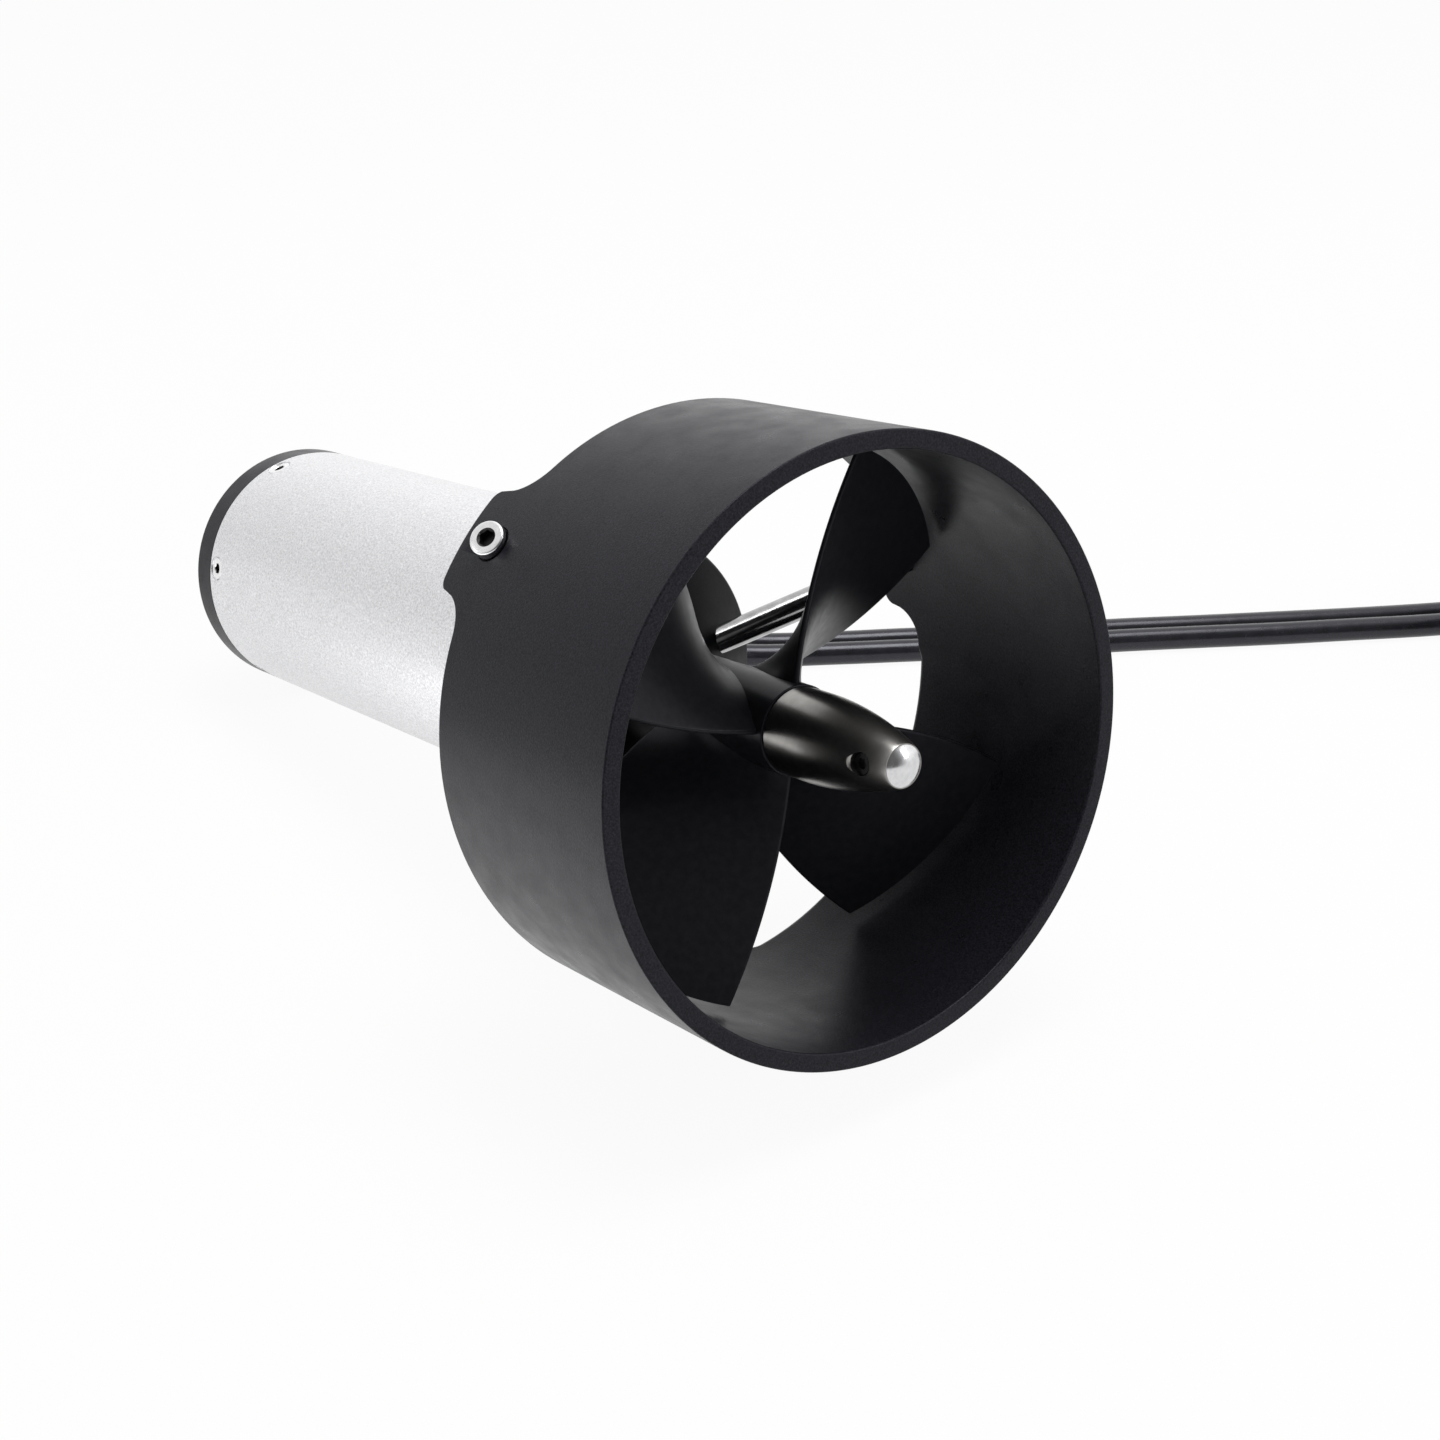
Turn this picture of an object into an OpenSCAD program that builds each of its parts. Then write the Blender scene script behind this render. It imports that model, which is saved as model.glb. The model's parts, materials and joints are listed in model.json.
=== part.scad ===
// Ducted underwater thruster: a sealed two-lead motor in a round tube turns a four-blade
// propeller directly, inside a ring duct that three slanted struts carry.
// Every piece is drawn along the shaft: station 0 is the duct's open rim, stations grow
// towards the nose, and angles turn from +Y towards up. place() then lays the thruster
// down, resting on a duct screw's head and on the edge of its rear cap.

/* [Duct] */
// Outside diameter of the duct
duct_od = 120; // [116:1:130]
// Wall of the duct
duct_wall = 2.8; // [2.4:0.1:4]
// Length of the duct, without its tabs
duct_len = 55.9; // [50:0.1:66]
// Edge break on the duct's open rim
rim_break = 0.3; // [0.2:0.1:1]
// Bevel inside the duct's open rim
lip_break = 0.9; // [0.3:0.1:1.5]
// Bevel inside the duct's rear edge
inlet_break = 1.7; // [0.5:0.1:2]
// Reach of a tab behind the duct
tab_len = 9.6; // [8:0.2:11]
// Width of a tab at its end
tab_w = 22.4; // [18:0.2:26]
// Round on a tab's end corners
tab_corner = 2.5; // [1:0.5:4]
// Hollow round that runs from the rim into a tab
tab_fillet = 7.5; // [6:0.5:10]

/* [Struts] */
// Diameter of a strut
strut_d = 6; // [5.5:0.5:8]
// Lean of a strut out of the radial plane
strut_slant = 22; // [16:0.5:28]
// Turn of the first strut from the horizontal
strut_clock = 15; // [0:0.2:30]
// Distance from a tab's end to its screw
screw_setback = 9.7; // [8.5:0.1:12]
// Depth of a strut in its socket
socket_depth = 8; // [6:0.5:9]
// Reach of a duct screw into its strut
duct_screw_reach = 11; // [8:0.5:14]

/* [Motor housing] */
// Outside diameter of the motor tube
tube_od = 60; // [58:1:66]
// Wall of the motor tube
tube_wall = 3; // [2.5:0.1:3.5]
// Gap from the duct's rear rim to the motor's shoulder
motor_gap = 24.1; // [20:0.1:28]
// Length of the motor from its shoulder to its rear face
motor_len = 153.8; // [148:0.2:180]
// Part of each cap that stands outside the tube
cap_collar = 7.8; // [7:0.2:12]
// Part of each cap that goes into the tube
cap_spigot = 14; // [13:0.5:18]
// Edge break on the rear cap
cap_break = 0.6; // [0.3:0.1:1]
// Edge break on the tube's ends
tube_break = 0.4; // [0.2:0.1:0.8]
// Length of the front cap's cone
cone_len = 13; // [11:0.5:16]
// Diameter of the seal neck
neck_d = 18; // [17:0.5:20]
// Screws round each cap
cap_screw_count = 6; // [4:1:8]
// Distance from the tube's end to a cap screw
cap_screw_inset = 3.6; // [3.4:0.1:4.5]

/* [Propeller] */
// Gap between the blade tips and the duct
tip_gap = 2.2; // [1:0.1:8]
// Advance of the blades in one turn
prop_pitch = 137; // [110:1:150]
// Angle from a blade's middle to its front edge
blade_front = 22.7; // [18:0.1:24]
// Angle from a blade's middle to its rear edge at the tip
blade_rear_tip = 21.2; // [16:0.2:26]
// Angle from a blade's middle to its rear edge at the root
blade_rear_root = 52; // [40:1:54]
// Sweep of a blade from root to tip
blade_skew = 12; // [0:1:20]
// Station of the blades' middle
blade_station = -34; // [-36:0.5:-32]
// Turn of the first blade at rest
blade_clock = -40; // [-45:0.5:45]
// Thickness of a blade at its tip
blade_tip_t = 1.8; // [1.4:0.1:2.6]
// Thickness of a blade at its root
blade_root_t = 4.2; // [3:0.1:5.5]
// Diameter of the hub
hub_d = 18; // [17:0.5:20]
// Station of the seam between hub and spinner
spinner_seam = -23.7; // [-25:0.1:-22]
// Length of the spinner nut
spinner_len = 30.8; // [28:0.2:34]
// Width of the spinner's lip round the shaft
spinner_lip = 0.15; // [0.1:0.05:1.5]
// Reach of the shaft's end out of the spinner
shaft_proud = 1.2; // [0.6:0.1:6]
// Height of the dome on the shaft's end
shaft_dome = 1.2; // [0.5:0.1:4]
// Diameter of the shaft at the propeller
shaft_d = 8; // [7:0.5:8]
// Diameter of the shaft in the motor
rotor_shaft_d = 10; // [9.5:0.5:10]

/* [Leads] */
// Diameter of a lead
lead_d = 6.2; // [5:0.1:6.4]
// Mean diameter of the stored coil
coil_mean_d = 64; // [62:1:74]

/* [Hidden] */
$fn = 96;

// Finishes
anodised_black = [0.10, 0.10, 0.11];
satin_silver = [0.78, 0.79, 0.80];
stainless = [0.72, 0.72, 0.73];
rubber_black = [0.05, 0.05, 0.05];
steel = [0.55, 0.56, 0.58];
ferrite = [0.22, 0.22, 0.24];
copper = [0.72, 0.42, 0.22];
brass = [0.80, 0.66, 0.30];
graphite = [0.18, 0.18, 0.19];
laminate = [0.50, 0.36, 0.20];

// Clearances
// Fixed pieces that seat in one another
seat_gap = 0.02;
// Turning pieces beside fixed ones in a fit
run_gap = 0.05;
// Turning pieces that only pass fixed ones
pass_gap = 0.5;
// Screw shanks in their threads and holes
thread_gap = 0.1;

// Duct stations and radii
duct_r = duct_od / 2;
duct_bore_r = duct_r - duct_wall;
tab_end = -(duct_len + tab_len);
strut_angles = [for (k = [0 : 2]) strut_clock + 120 * k];

// Struts: the axis of each passes through the middle of the duct's wall at its screw
screw_station = tab_end + screw_setback;
screw_r = duct_r - duct_wall / 2;
spotface_depth = 1;
m4_shank_d = 4;
m4_head_d = 7;
m4_head_h = 4;
m4_key = 3;
spotface_margin = 0.3;
spotface_d = m4_head_d + 2 * spotface_margin;

// Motor housing stations and radii
tube_r = tube_od / 2;
tube_bore_r = tube_r - tube_wall;
shoulder = -(duct_len + motor_gap);
tube_front = shoulder - cap_collar;
rear_face = shoulder - motor_len;
tube_rear = rear_face + cap_collar;
spigot_r = tube_bore_r - run_gap;
spigot_front_end = tube_front - cap_spigot;
spigot_rear_end = tube_rear + cap_spigot;
shoulder_round = 1.6;
neck_r = neck_d / 2;
cone_top = shoulder + cone_len;
neck_fillet = 2.6;
cone_top_r = neck_r + neck_fillet;
neck_fillet_len = 5;
o_ring_section = 2;
o_ring_groove_w = 1.3 * o_ring_section;
o_ring_inset = cap_spigot - 4.5;
m3_shank_d = 3;
m3_head_d = 6;
m3_head_h = 1.7;
m3_key = 2;
m3_len = 8;
m3_sink = 0.2;
cap_screw_clock = strut_clock + 180 / cap_screw_count;
shaft_r = shaft_d / 2;
rotor_shaft_r = rotor_shaft_d / 2;

// Propeller stations
hub_r = hub_d / 2;
hub_margin = 1.2;
hub_rear = blade_station - prop_pitch / 360 * blade_rear_root - hub_margin;
hub_clearance = 1.5;
neck_front = hub_rear - hub_clearance;
prop_r = duct_bore_r - tip_gap;
blade_count = 4;
blade_rise = prop_pitch / 360;
spinner_r = hub_r - 0.3;
spinner_straight = 6.5;
spinner_tip = spinner_seam + spinner_len;
shaft_tip = spinner_tip + shaft_proud;
grub_hole_d = 4;
grub_setback = 5.4;
grub_len = 1.2;
grub_clock = 171.5;
drive_pin_d = 3;
drive_pin_inset = 1.5;
drive_pin_station = hub_rear + 2.2;

// Bearings: [outside radius, bore radius, width, ball radius, ball count]
front_bearing = [13, rotor_shaft_r, 8, 2.2, 8];
rear_bearing = [11, shaft_r, 7, 1.9, 7];
front_bearing_face = spigot_front_end;
rear_bearing_face = spigot_rear_end;
seal_r = 7;
seal_w = 4;
seal_lip = 1.2;
seal_count = 2;
circlip_w = 1;
circlip_depth = 0.8;

// Motor insides, measured forward from the rear cap's spigot
brush_plate_t = 3;
brush_plate_front = spigot_rear_end + brush_plate_t;
comm_r = 10;
comm_len = 13;
comm_rear = spigot_rear_end + 5;
brush_w = 6;
brush_h = 8;
brush_station = comm_rear + comm_len / 2;
brush_in_r = comm_r + 0.3;
spring_len = 5;
spring_clearance = 3.7;
spring_out_r = tube_bore_r - spring_clearance;
brush_out_r = spring_out_r - spring_len;
brush_wall = 1.6;
brush_foot_r = comm_r + 4;
flux_wall = 3.1;
magnet_t = 3.3;
air_gap = 0.6;
flux_r = tube_bore_r - flux_wall;
magnet_r = flux_r - magnet_t;
core_r = magnet_r - air_gap;
core_len = 54;
slot_count = 12;
slot_w = 4.6;
slot_floor_r = 11;
winding_end = 9;
core_rear = comm_rear + comm_len + 3 + winding_end;
core_front = core_rear + core_len;
magnet_angle = 132;
magnet_overhang = 2;
flux_overhang = 6;

// Lead penetrators in the rear cap, side by side on its +Y half
pen_r = 17;
pen_angles = [-28, 28];
pen_shank_r = 4.8;
pen_hex = 12;
pen_hex_h = 4;
pen_dome_r = 5.4;
pen_dome_h = 8;
pen_taper_h = 6;
pen_out = pen_hex_h + pen_dome_h + pen_taper_h;
pen_o_section = 1.3;
inner_lead_d = 3;

// Lying down: the lowest duct screw's head and the rear cap's edge touch the ground
head_out = duct_wall / 2 - spotface_depth + seat_gap + m4_head_h;
head_station = screw_station + head_out * sin(strut_slant);
head_r = screw_r + head_out * cos(strut_slant);
// How far a head's rim reaches past its centre, looking square to the shaft at an angle to its strut
function head_rim(a) = m4_head_d / 2 * norm([sin(strut_slant) * cos(a), sin(a)]);
foot_angle = abs(strut_angles[2] - 270);
foot_drop = head_r * cos(foot_angle) + head_rim(foot_angle);
foot_station = head_station
    - pow(m4_head_d / 2, 2) * sin(strut_slant) * cos(strut_slant) * cos(foot_angle) / head_rim(foot_angle);
heel_station = rear_face + cap_break;
tilt = atan((foot_drop - tube_r) / (foot_station - heel_station));
lift = foot_drop * cos(tilt) - foot_station * sin(tilt);
nose_reach = (shaft_tip - shaft_r) * cos(tilt) + shaft_r;
rim_reach = (duct_r - rim_break) * sin(tilt);
tail_reach = -rear_face * cos(tilt) + (tube_r - cap_break) * sin(tilt);
shift_x = (tail_reach - max(nose_reach, rim_reach)) / 2;

module place() translate([shift_x, 0, lift]) rotate([0, -tilt, 0]) children();
module along_axis() rotate([0, 90, 0]) children();
module revolve() along_axis() rotate_extrude() children();
module at_angle(a) rotate([a, 0, 0]) children();
// Drill or rod pointing out from the axis, from one radius to another
module radial(station, r0, r1, d) translate([station, r0, 0]) rotate([-90, 0, 0])
    cylinder(d = d, h = r1 - r0);
// Plain ring or tube from station x0 to x1
module ring(x0, x1, r_in, r_out) revolve() translate([r_in, x0]) square([r_out - r_in, x1 - x0]);
module rod(x0, x1, r) translate([x0, 0, 0]) along_axis() cylinder(r = r, h = x1 - x0);

function to_row(p) = [shift_x + p[0] * cos(tilt) - p[2] * sin(tilt), p[1],
    lift + p[0] * sin(tilt) + p[2] * cos(tilt)];
function polar(station, r, a) = [station, r * cos(a), r * sin(a)];

// Motor housing
module cap_screw_holes(station) {
    for (k = [0 : cap_screw_count - 1]) at_angle(cap_screw_clock + 360 / cap_screw_count * k) {
        radial(station, tube_bore_r - 1, tube_r + 1, m3_shank_d + 2 * thread_gap);
        translate([station, tube_r - m3_sink - m3_head_h - seat_gap, 0]) rotate([-90, 0, 0])
            cylinder(d1 = m3_shank_d, d2 = m3_head_d + 2 * seat_gap, h = m3_head_h + 2 * seat_gap);
        radial(station, tube_r - m3_sink, tube_r + 1, m3_head_d + 2 * seat_gap);
    }
}

module motor_tube() color(satin_silver) place() difference() {
    revolve() polygon([[tube_bore_r, tube_rear], [tube_r - tube_break, tube_rear],
        [tube_r, tube_rear + tube_break], [tube_r, tube_front - tube_break],
        [tube_r - tube_break, tube_front], [tube_bore_r, tube_front]]);
    cap_screw_holes(tube_front - cap_screw_inset);
    cap_screw_holes(tube_rear + cap_screw_inset);
}

module o_ring_groove(station) revolve()
    translate([spigot_r - o_ring_section, station - o_ring_groove_w / 2])
    square([o_ring_section + 1, o_ring_groove_w]);

module tapped_spigot(station) {
    for (k = [0 : cap_screw_count - 1]) at_angle(cap_screw_clock + 360 / cap_screw_count * k)
        radial(station, tube_r - m3_len - 1, tube_r, m3_shank_d + 2 * thread_gap);
}

// Strut frame: the child's +Y runs out along the strut, with its zero at the duct's wall
module at_strut(a) at_angle(a) translate([screw_station, screw_r, 0])
    rotate([0, 0, -strut_slant]) children();
module strut_rod(y0, y1, d) translate([0, y0, 0]) rotate([-90, 0, 0]) cylinder(d = d, h = y1 - y0);

// Distance along a strut from the duct's wall down to the front cap's cone
cone_slope = (tube_r - shoulder_round - cone_top_r) / cone_len;
strut_run = (screw_r - (tube_r - shoulder_round) + (screw_station - shoulder) * cone_slope)
    / (cos(strut_slant) + sin(strut_slant) * cone_slope);
strut_end = -(strut_run + socket_depth);

function shoulder_arc() = [for (a = [0 : 15 : 90])
    [tube_r - shoulder_round * (1 - cos(a)), shoulder - shoulder_round * (1 - sin(a))]];

module front_cap() color(anodised_black) place() difference() {
    revolve() polygon(concat(
        [[shaft_r + pass_gap, spigot_front_end], [spigot_r, spigot_front_end], [spigot_r, tube_front],
         [tube_r, tube_front]],
        shoulder_arc(),
        [[cone_top_r, cone_top], [neck_r, cone_top + neck_fillet_len], [neck_r, neck_front - rim_break],
         [neck_r - rim_break, neck_front], [shaft_r + pass_gap, neck_front]]));
    ring(front_bearing_face - 1, front_bearing_face + front_bearing[2], 1, front_bearing[0] + seat_gap);
    ring(front_bearing_face, front_bearing_face + front_bearing[2] + pass_gap, 1,
        ball_ring_r(front_bearing));
    ring(neck_front - seal_count * seal_w - 2 * circlip_w, neck_front + 1, 1, seal_r + seat_gap);
    ring(neck_front - 2 * circlip_w, neck_front - circlip_w, 1,
        seal_r + circlip_depth + seat_gap);
    o_ring_groove(tube_front - o_ring_inset);
    tapped_spigot(tube_front - cap_screw_inset);
    for (a = strut_angles) at_strut(a)
        strut_rod(strut_end - seat_gap, -strut_run + strut_d * 2, strut_d + 2 * seat_gap);
}

module rear_cap() color(anodised_black) place() difference() {
    revolve() polygon([[0, rear_face], [tube_r - cap_break, rear_face], [tube_r, rear_face + cap_break],
        [tube_r, tube_rear], [spigot_r, tube_rear], [spigot_r, spigot_rear_end], [0, spigot_rear_end]]);
    ring(rear_bearing_face - rear_bearing[2], rear_bearing_face + 1, 0, rear_bearing[0] + seat_gap);
    ring(rear_bearing_face - rear_bearing[2] - 2, rear_bearing_face, 0, shaft_r + 3);
    o_ring_groove(tube_rear + o_ring_inset);
    tapped_spigot(tube_rear + cap_screw_inset);
    at_penetrators() {
        rod(rear_face - 1, spigot_rear_end + 1, pen_shank_r + thread_gap);
        rod(rear_face - 1, rear_face + pen_o_section + seat_gap,
            pen_shank_r + 2 * thread_gap + pen_o_section);
    }
}

module o_ring(station) revolve() translate([tube_bore_r - seat_gap - o_ring_section / 2, station])
    circle(d = o_ring_section, $fn = 32);
module front_o_ring() color(rubber_black) place() o_ring(tube_front - o_ring_inset);
module rear_o_ring() color(rubber_black) place() o_ring(tube_rear + o_ring_inset);

module cap_screws(station) {
    for (k = [0 : cap_screw_count - 1]) at_angle(cap_screw_clock + 360 / cap_screw_count * k)
        translate([station, tube_r - m3_sink, 0]) rotate([90, 0, 0]) difference() {
            union() {
                cylinder(d1 = m3_head_d, d2 = m3_shank_d, h = m3_head_h);
                cylinder(d = m3_shank_d, h = m3_len);
            }
            translate([0, 0, -1]) cylinder(d = m3_key / cos(30), h = 1 + m3_head_h * 0.8, $fn = 6);
        }
}
module front_cap_screws() color(stainless) place() cap_screws(tube_front - cap_screw_inset);
module rear_cap_screws() color(stainless) place() cap_screws(tube_rear + cap_screw_inset);

// Shaft sealing
module shaft_seals() color(rubber_black) place() {
    for (k = [0 : seal_count - 1]) {
        base = neck_front - 2 * circlip_w - (k + 1) * seal_w;
        revolve() polygon([[shaft_r + run_gap, base + 0.8], [shaft_r + run_gap, base + 1.4],
            [shaft_r + seal_lip, base + 2 * seal_lip], [shaft_r + seal_lip, base + seal_w - seat_gap],
            [seal_r, base + seal_w - seat_gap], [seal_r, base + seat_gap],
            [shaft_r + seal_lip, base + seat_gap]]);
    }
}
module seal_circlip() color(steel) place() difference() {
    ring(neck_front - 2 * circlip_w + seat_gap, neck_front - circlip_w - seat_gap, seal_r - 1,
        seal_r + circlip_depth);
    translate([neck_front - 3 * circlip_w, seal_r - 2, -1]) cube([3 * circlip_w, 4, 2]);
}

// Bearings, drawn between their face station and one width along the given direction
function ball_ring_r(b) = (b[0] + b[1]) / 2;
function race_half(b) = b[3] * 0.72;
module race(b, middle, r0, r1) difference() {
    ring(middle - b[2] / 2 + seat_gap, middle + b[2] / 2 - seat_gap, r0, r1);
    revolve() translate([ball_ring_r(b), middle]) circle(r = b[3] + run_gap, $fn = 48);
}
module bearing_outer(b, middle) race(b, middle, ball_ring_r(b) + race_half(b), b[0]);
module bearing_inner(b, middle) race(b, middle, b[1] + seat_gap, ball_ring_r(b) - race_half(b));
module bearing_balls(b, middle) for (k = [0 : b[4] - 1])
    translate(polar(middle, ball_ring_r(b), 360 / b[4] * k)) sphere(r = b[3], $fn = 32);

front_middle = front_bearing_face + front_bearing[2] / 2;
rear_middle = rear_bearing_face - rear_bearing[2] / 2;
module front_bearing_outer() color(steel) place() bearing_outer(front_bearing, front_middle);
module front_bearing_balls() color(stainless) place() bearing_balls(front_bearing, front_middle);
module front_bearing_inner() color(steel) place() bearing_inner(front_bearing, front_middle);
module rear_bearing_outer() color(steel) place() bearing_outer(rear_bearing, rear_middle);
module rear_bearing_balls() color(stainless) place() bearing_balls(rear_bearing, rear_middle);
module rear_bearing_inner() color(steel) place() bearing_inner(rear_bearing, rear_middle);

// Motor insides
module flux_ring() color(steel) place()
    ring(core_rear - flux_overhang, core_front + flux_overhang, flux_r, tube_bore_r - seat_gap);
module field_magnets() color(ferrite) place() {
    for (side = [0, 180]) at_angle(side) along_axis() rotate([0, 0, 90 - magnet_angle / 2])
        translate([0, 0, core_rear - magnet_overhang]) rotate_extrude(angle = magnet_angle)
        translate([magnet_r, 0]) square([flux_r - seat_gap - magnet_r, core_len + 2 * magnet_overhang]);
}

// Brush gear: each box is open towards the commutator
module brush_box(grow, r0, r1) translate([brush_station - brush_h / 2 - grow, r0, -brush_w / 2 - grow])
    cube([brush_h + 2 * grow, r1 - r0, brush_w + 2 * grow]);
module brush_plate() color(laminate) place() difference() {
    union() {
        ring(spigot_rear_end, brush_plate_front, rear_bearing[0] + 2, tube_bore_r - run_gap);
        for (side = [0, 180]) at_angle(side) {
            brush_box(brush_wall, comm_r + 1.2, spring_out_r + brush_wall);
            translate([brush_plate_front - 1, brush_foot_r, -brush_w / 2])
                cube([brush_station - brush_h / 2 - brush_plate_front + 1,
                    spring_out_r - brush_foot_r, brush_w]);
        }
    }
    for (side = [0, 180]) at_angle(side) brush_box(run_gap, comm_r, spring_out_r);
}
module brushes() color(graphite) place() for (side = [0, 180]) at_angle(side)
    brush_box(0, brush_in_r, brush_out_r);

// Swept tube through points, with flat ends square to the first and last stretch
function unit(v) = v / norm(v);
function heading(pts, i) = unit(pts[min(i + 1, len(pts) - 1)] - pts[max(i - 1, 0)]);
function side_of(t) = unit(cross(t, abs(t[2]) < 0.9 ? [0, 0, 1] : [1, 0, 0]));
function sweep_ring(p, t, r, n) = let (s = side_of(t), u = cross(s, t))
    [for (k = [0 : n - 1]) p + r * (cos(360 * k / n) * s + sin(360 * k / n) * u)];
module swept_tube(pts, r, n) {
    last = len(pts) - 1;
    polyhedron(
        points = [for (i = [0 : last]) each sweep_ring(pts[i], heading(pts, i), r, n)],
        faces = concat(
            [[for (k = [0 : n - 1]) k]],
            [for (i = [0 : last - 1], k = [0 : n - 1])
                [i * n + k, (i + 1) * n + k, (i + 1) * n + (k + 1) % n, i * n + (k + 1) % n]],
            [[for (k = [n - 1 : -1 : 0]) last * n + k]]));
}

spring_wire = 0.7;
spring_coil_r = 2.2;
spring_turns = 4;
spring_steps = 10;
module brush_springs() color(stainless) place() for (side = [0, 180]) at_angle(side) {
    span = spring_out_r - brush_out_r - spring_wire - 2 * run_gap;
    swept_tube([for (i = [0 : spring_turns * spring_steps]) let (a = 360 * i / spring_steps)
        [brush_station + spring_coil_r * cos(a),
         brush_out_r + spring_wire / 2 + run_gap + span * i / (spring_turns * spring_steps),
         spring_coil_r * sin(a)]], spring_wire / 2, 6);
}
module inner_leads() color(rubber_black) place() at_penetrators()
    rod(spigot_rear_end - 2, spigot_rear_end, inner_lead_d / 2);

module shaft() color(stainless) place() difference() {
    revolve() polygon(concat(
        [[0, rear_bearing_face - rear_bearing[2] - 1], [shaft_r, rear_bearing_face - rear_bearing[2] - 1],
         [shaft_r, rear_bearing_face + seat_gap], [rotor_shaft_r, rear_bearing_face + seat_gap],
         [rotor_shaft_r, front_bearing_face + front_bearing[2] - seat_gap],
         [shaft_r, front_bearing_face + front_bearing[2] - seat_gap]],
        [for (a = [0 : 7.5 : 90]) [shaft_r * cos(a), shaft_tip - shaft_dome * (1 - sin(a))]]));
    at_angle(90) radial(drive_pin_station, -shaft_r - 1, shaft_r + 1, drive_pin_d + 2 * seat_gap);
}

module core_slots(w, r0, r1, x0, x1) for (k = [0 : slot_count - 1]) at_angle(360 / slot_count * k)
    translate([x0, r0, -w / 2]) cube([x1 - x0, r1 - r0, w]);
module armature_core() color(steel) place() difference() {
    ring(core_rear, core_front, rotor_shaft_r + seat_gap, core_r);
    core_slots(slot_w, slot_floor_r, core_r + 1, core_rear - 1, core_front + 1);
}
module armature_winding() color(copper) place() union() {
    for (x0 = [core_rear - winding_end, core_front + seat_gap])
        revolve() translate([rotor_shaft_r + 2.5, x0])
            square([core_r - rotor_shaft_r - 4.5, winding_end - seat_gap]);
    core_slots(slot_w - 0.4, slot_floor_r + 0.2, core_r - 1.2, core_rear - 1, core_front + 1);
}
module commutator() color(copper) place() difference() {
    ring(comm_rear, comm_rear + comm_len, rotor_shaft_r + seat_gap, comm_r);
    core_slots(0.6, comm_r - 1, comm_r + 1, comm_rear - 1, comm_rear + comm_len - 2);
}

// Propeller: each blade is a helicoid whose middle line sweeps back with radius
blade_radii = 10;
blade_chord = 8;
blade_sink = 2.5;
root_flare = 3.6;
root_flare_reach = 2.4;
blade_edge_t = 0.9;
function blade_r(i) = let (v = i / blade_radii)
    hub_r - blade_sink + (prop_r - hub_r + blade_sink) * pow(v, 1.35);
function blade_mid(r) = blade_skew * (0.5 - (r - hub_r) / (prop_r - hub_r));
function blade_rear(r) = blade_rear_tip
    + (blade_rear_root - blade_rear_tip) * (prop_r - r) / (prop_r - hub_r);
function blade_off(r, u) = (blade_front - blade_rear(r) + u * (blade_front + blade_rear(r))) / 2;
function blade_t(r, u) = let (
    along = (r - hub_r) / (prop_r - hub_r),
    full = blade_root_t + (blade_tip_t - blade_root_t) * pow(max(along, 0), 0.8)
        + root_flare * exp(-max(r - hub_r, 0) / root_flare_reach))
    blade_edge_t + (full - blade_edge_t) * (1 - pow(abs(u), 2.4));
function blade_point(r, u, side) = let (
    rise = blade_rise * 180 / PI,
    lean = sqrt(r * r + rise * rise),
    half = side * blade_t(r, u) / 2,
    turn = blade_mid(r) + blade_off(r, u) - half * rise / lean / r * 180 / PI)
    polar(blade_station + blade_rise * blade_off(r, u) + half * r / lean, r, turn);
function blade_loop(r) = concat(
    [for (k = [0 : blade_chord]) blade_point(r, 2 * k / blade_chord - 1, 1)],
    [for (k = [blade_chord : -1 : 0]) blade_point(r, 2 * k / blade_chord - 1, -1)]);
module blade() {
    n = 2 * (blade_chord + 1);
    polyhedron(
        points = [for (i = [0 : blade_radii]) each blade_loop(blade_r(i))],
        faces = concat(
            [for (k = [0 : blade_chord - 1]) each [[k, n - 1 - k, n - 2 - k], [k, n - 2 - k, k + 1]]],
            [for (i = [0 : blade_radii - 1], k = [0 : n - 1]) each
                [[i * n + k, i * n + (k + 1) % n, (i + 1) * n + (k + 1) % n],
                 [i * n + k, (i + 1) * n + (k + 1) % n, (i + 1) * n + k]]],
            [for (k = [0 : blade_chord - 1]) let (b = blade_radii * n) each
                [[b + k, b + n - 2 - k, b + n - 1 - k], [b + k, b + k + 1, b + n - 2 - k]]]));
}
module propeller() color(anodised_black) place() difference() {
    union() {
        revolve() polygon([[1, hub_rear], [hub_r - rim_break, hub_rear], [hub_r, hub_rear + rim_break],
            [hub_r, spinner_seam - seat_gap], [1, spinner_seam - seat_gap]]);
        for (k = [0 : blade_count - 1]) at_angle(blade_clock + 360 / blade_count * k) blade();
    }
    rod(hub_rear - 1, spinner_seam + 1, shaft_r + run_gap);
    at_angle(90) translate([hub_rear - 1, -hub_r - 1, -drive_pin_d / 2 - run_gap])
        cube([drive_pin_station + drive_pin_d / 2 + run_gap - hub_rear + 1, 2 * hub_r + 2,
            drive_pin_d + 2 * run_gap]);
}
module drive_pin() color(steel) place() at_angle(90)
    radial(drive_pin_station, drive_pin_inset - hub_r, hub_r - drive_pin_inset, drive_pin_d);

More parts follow.
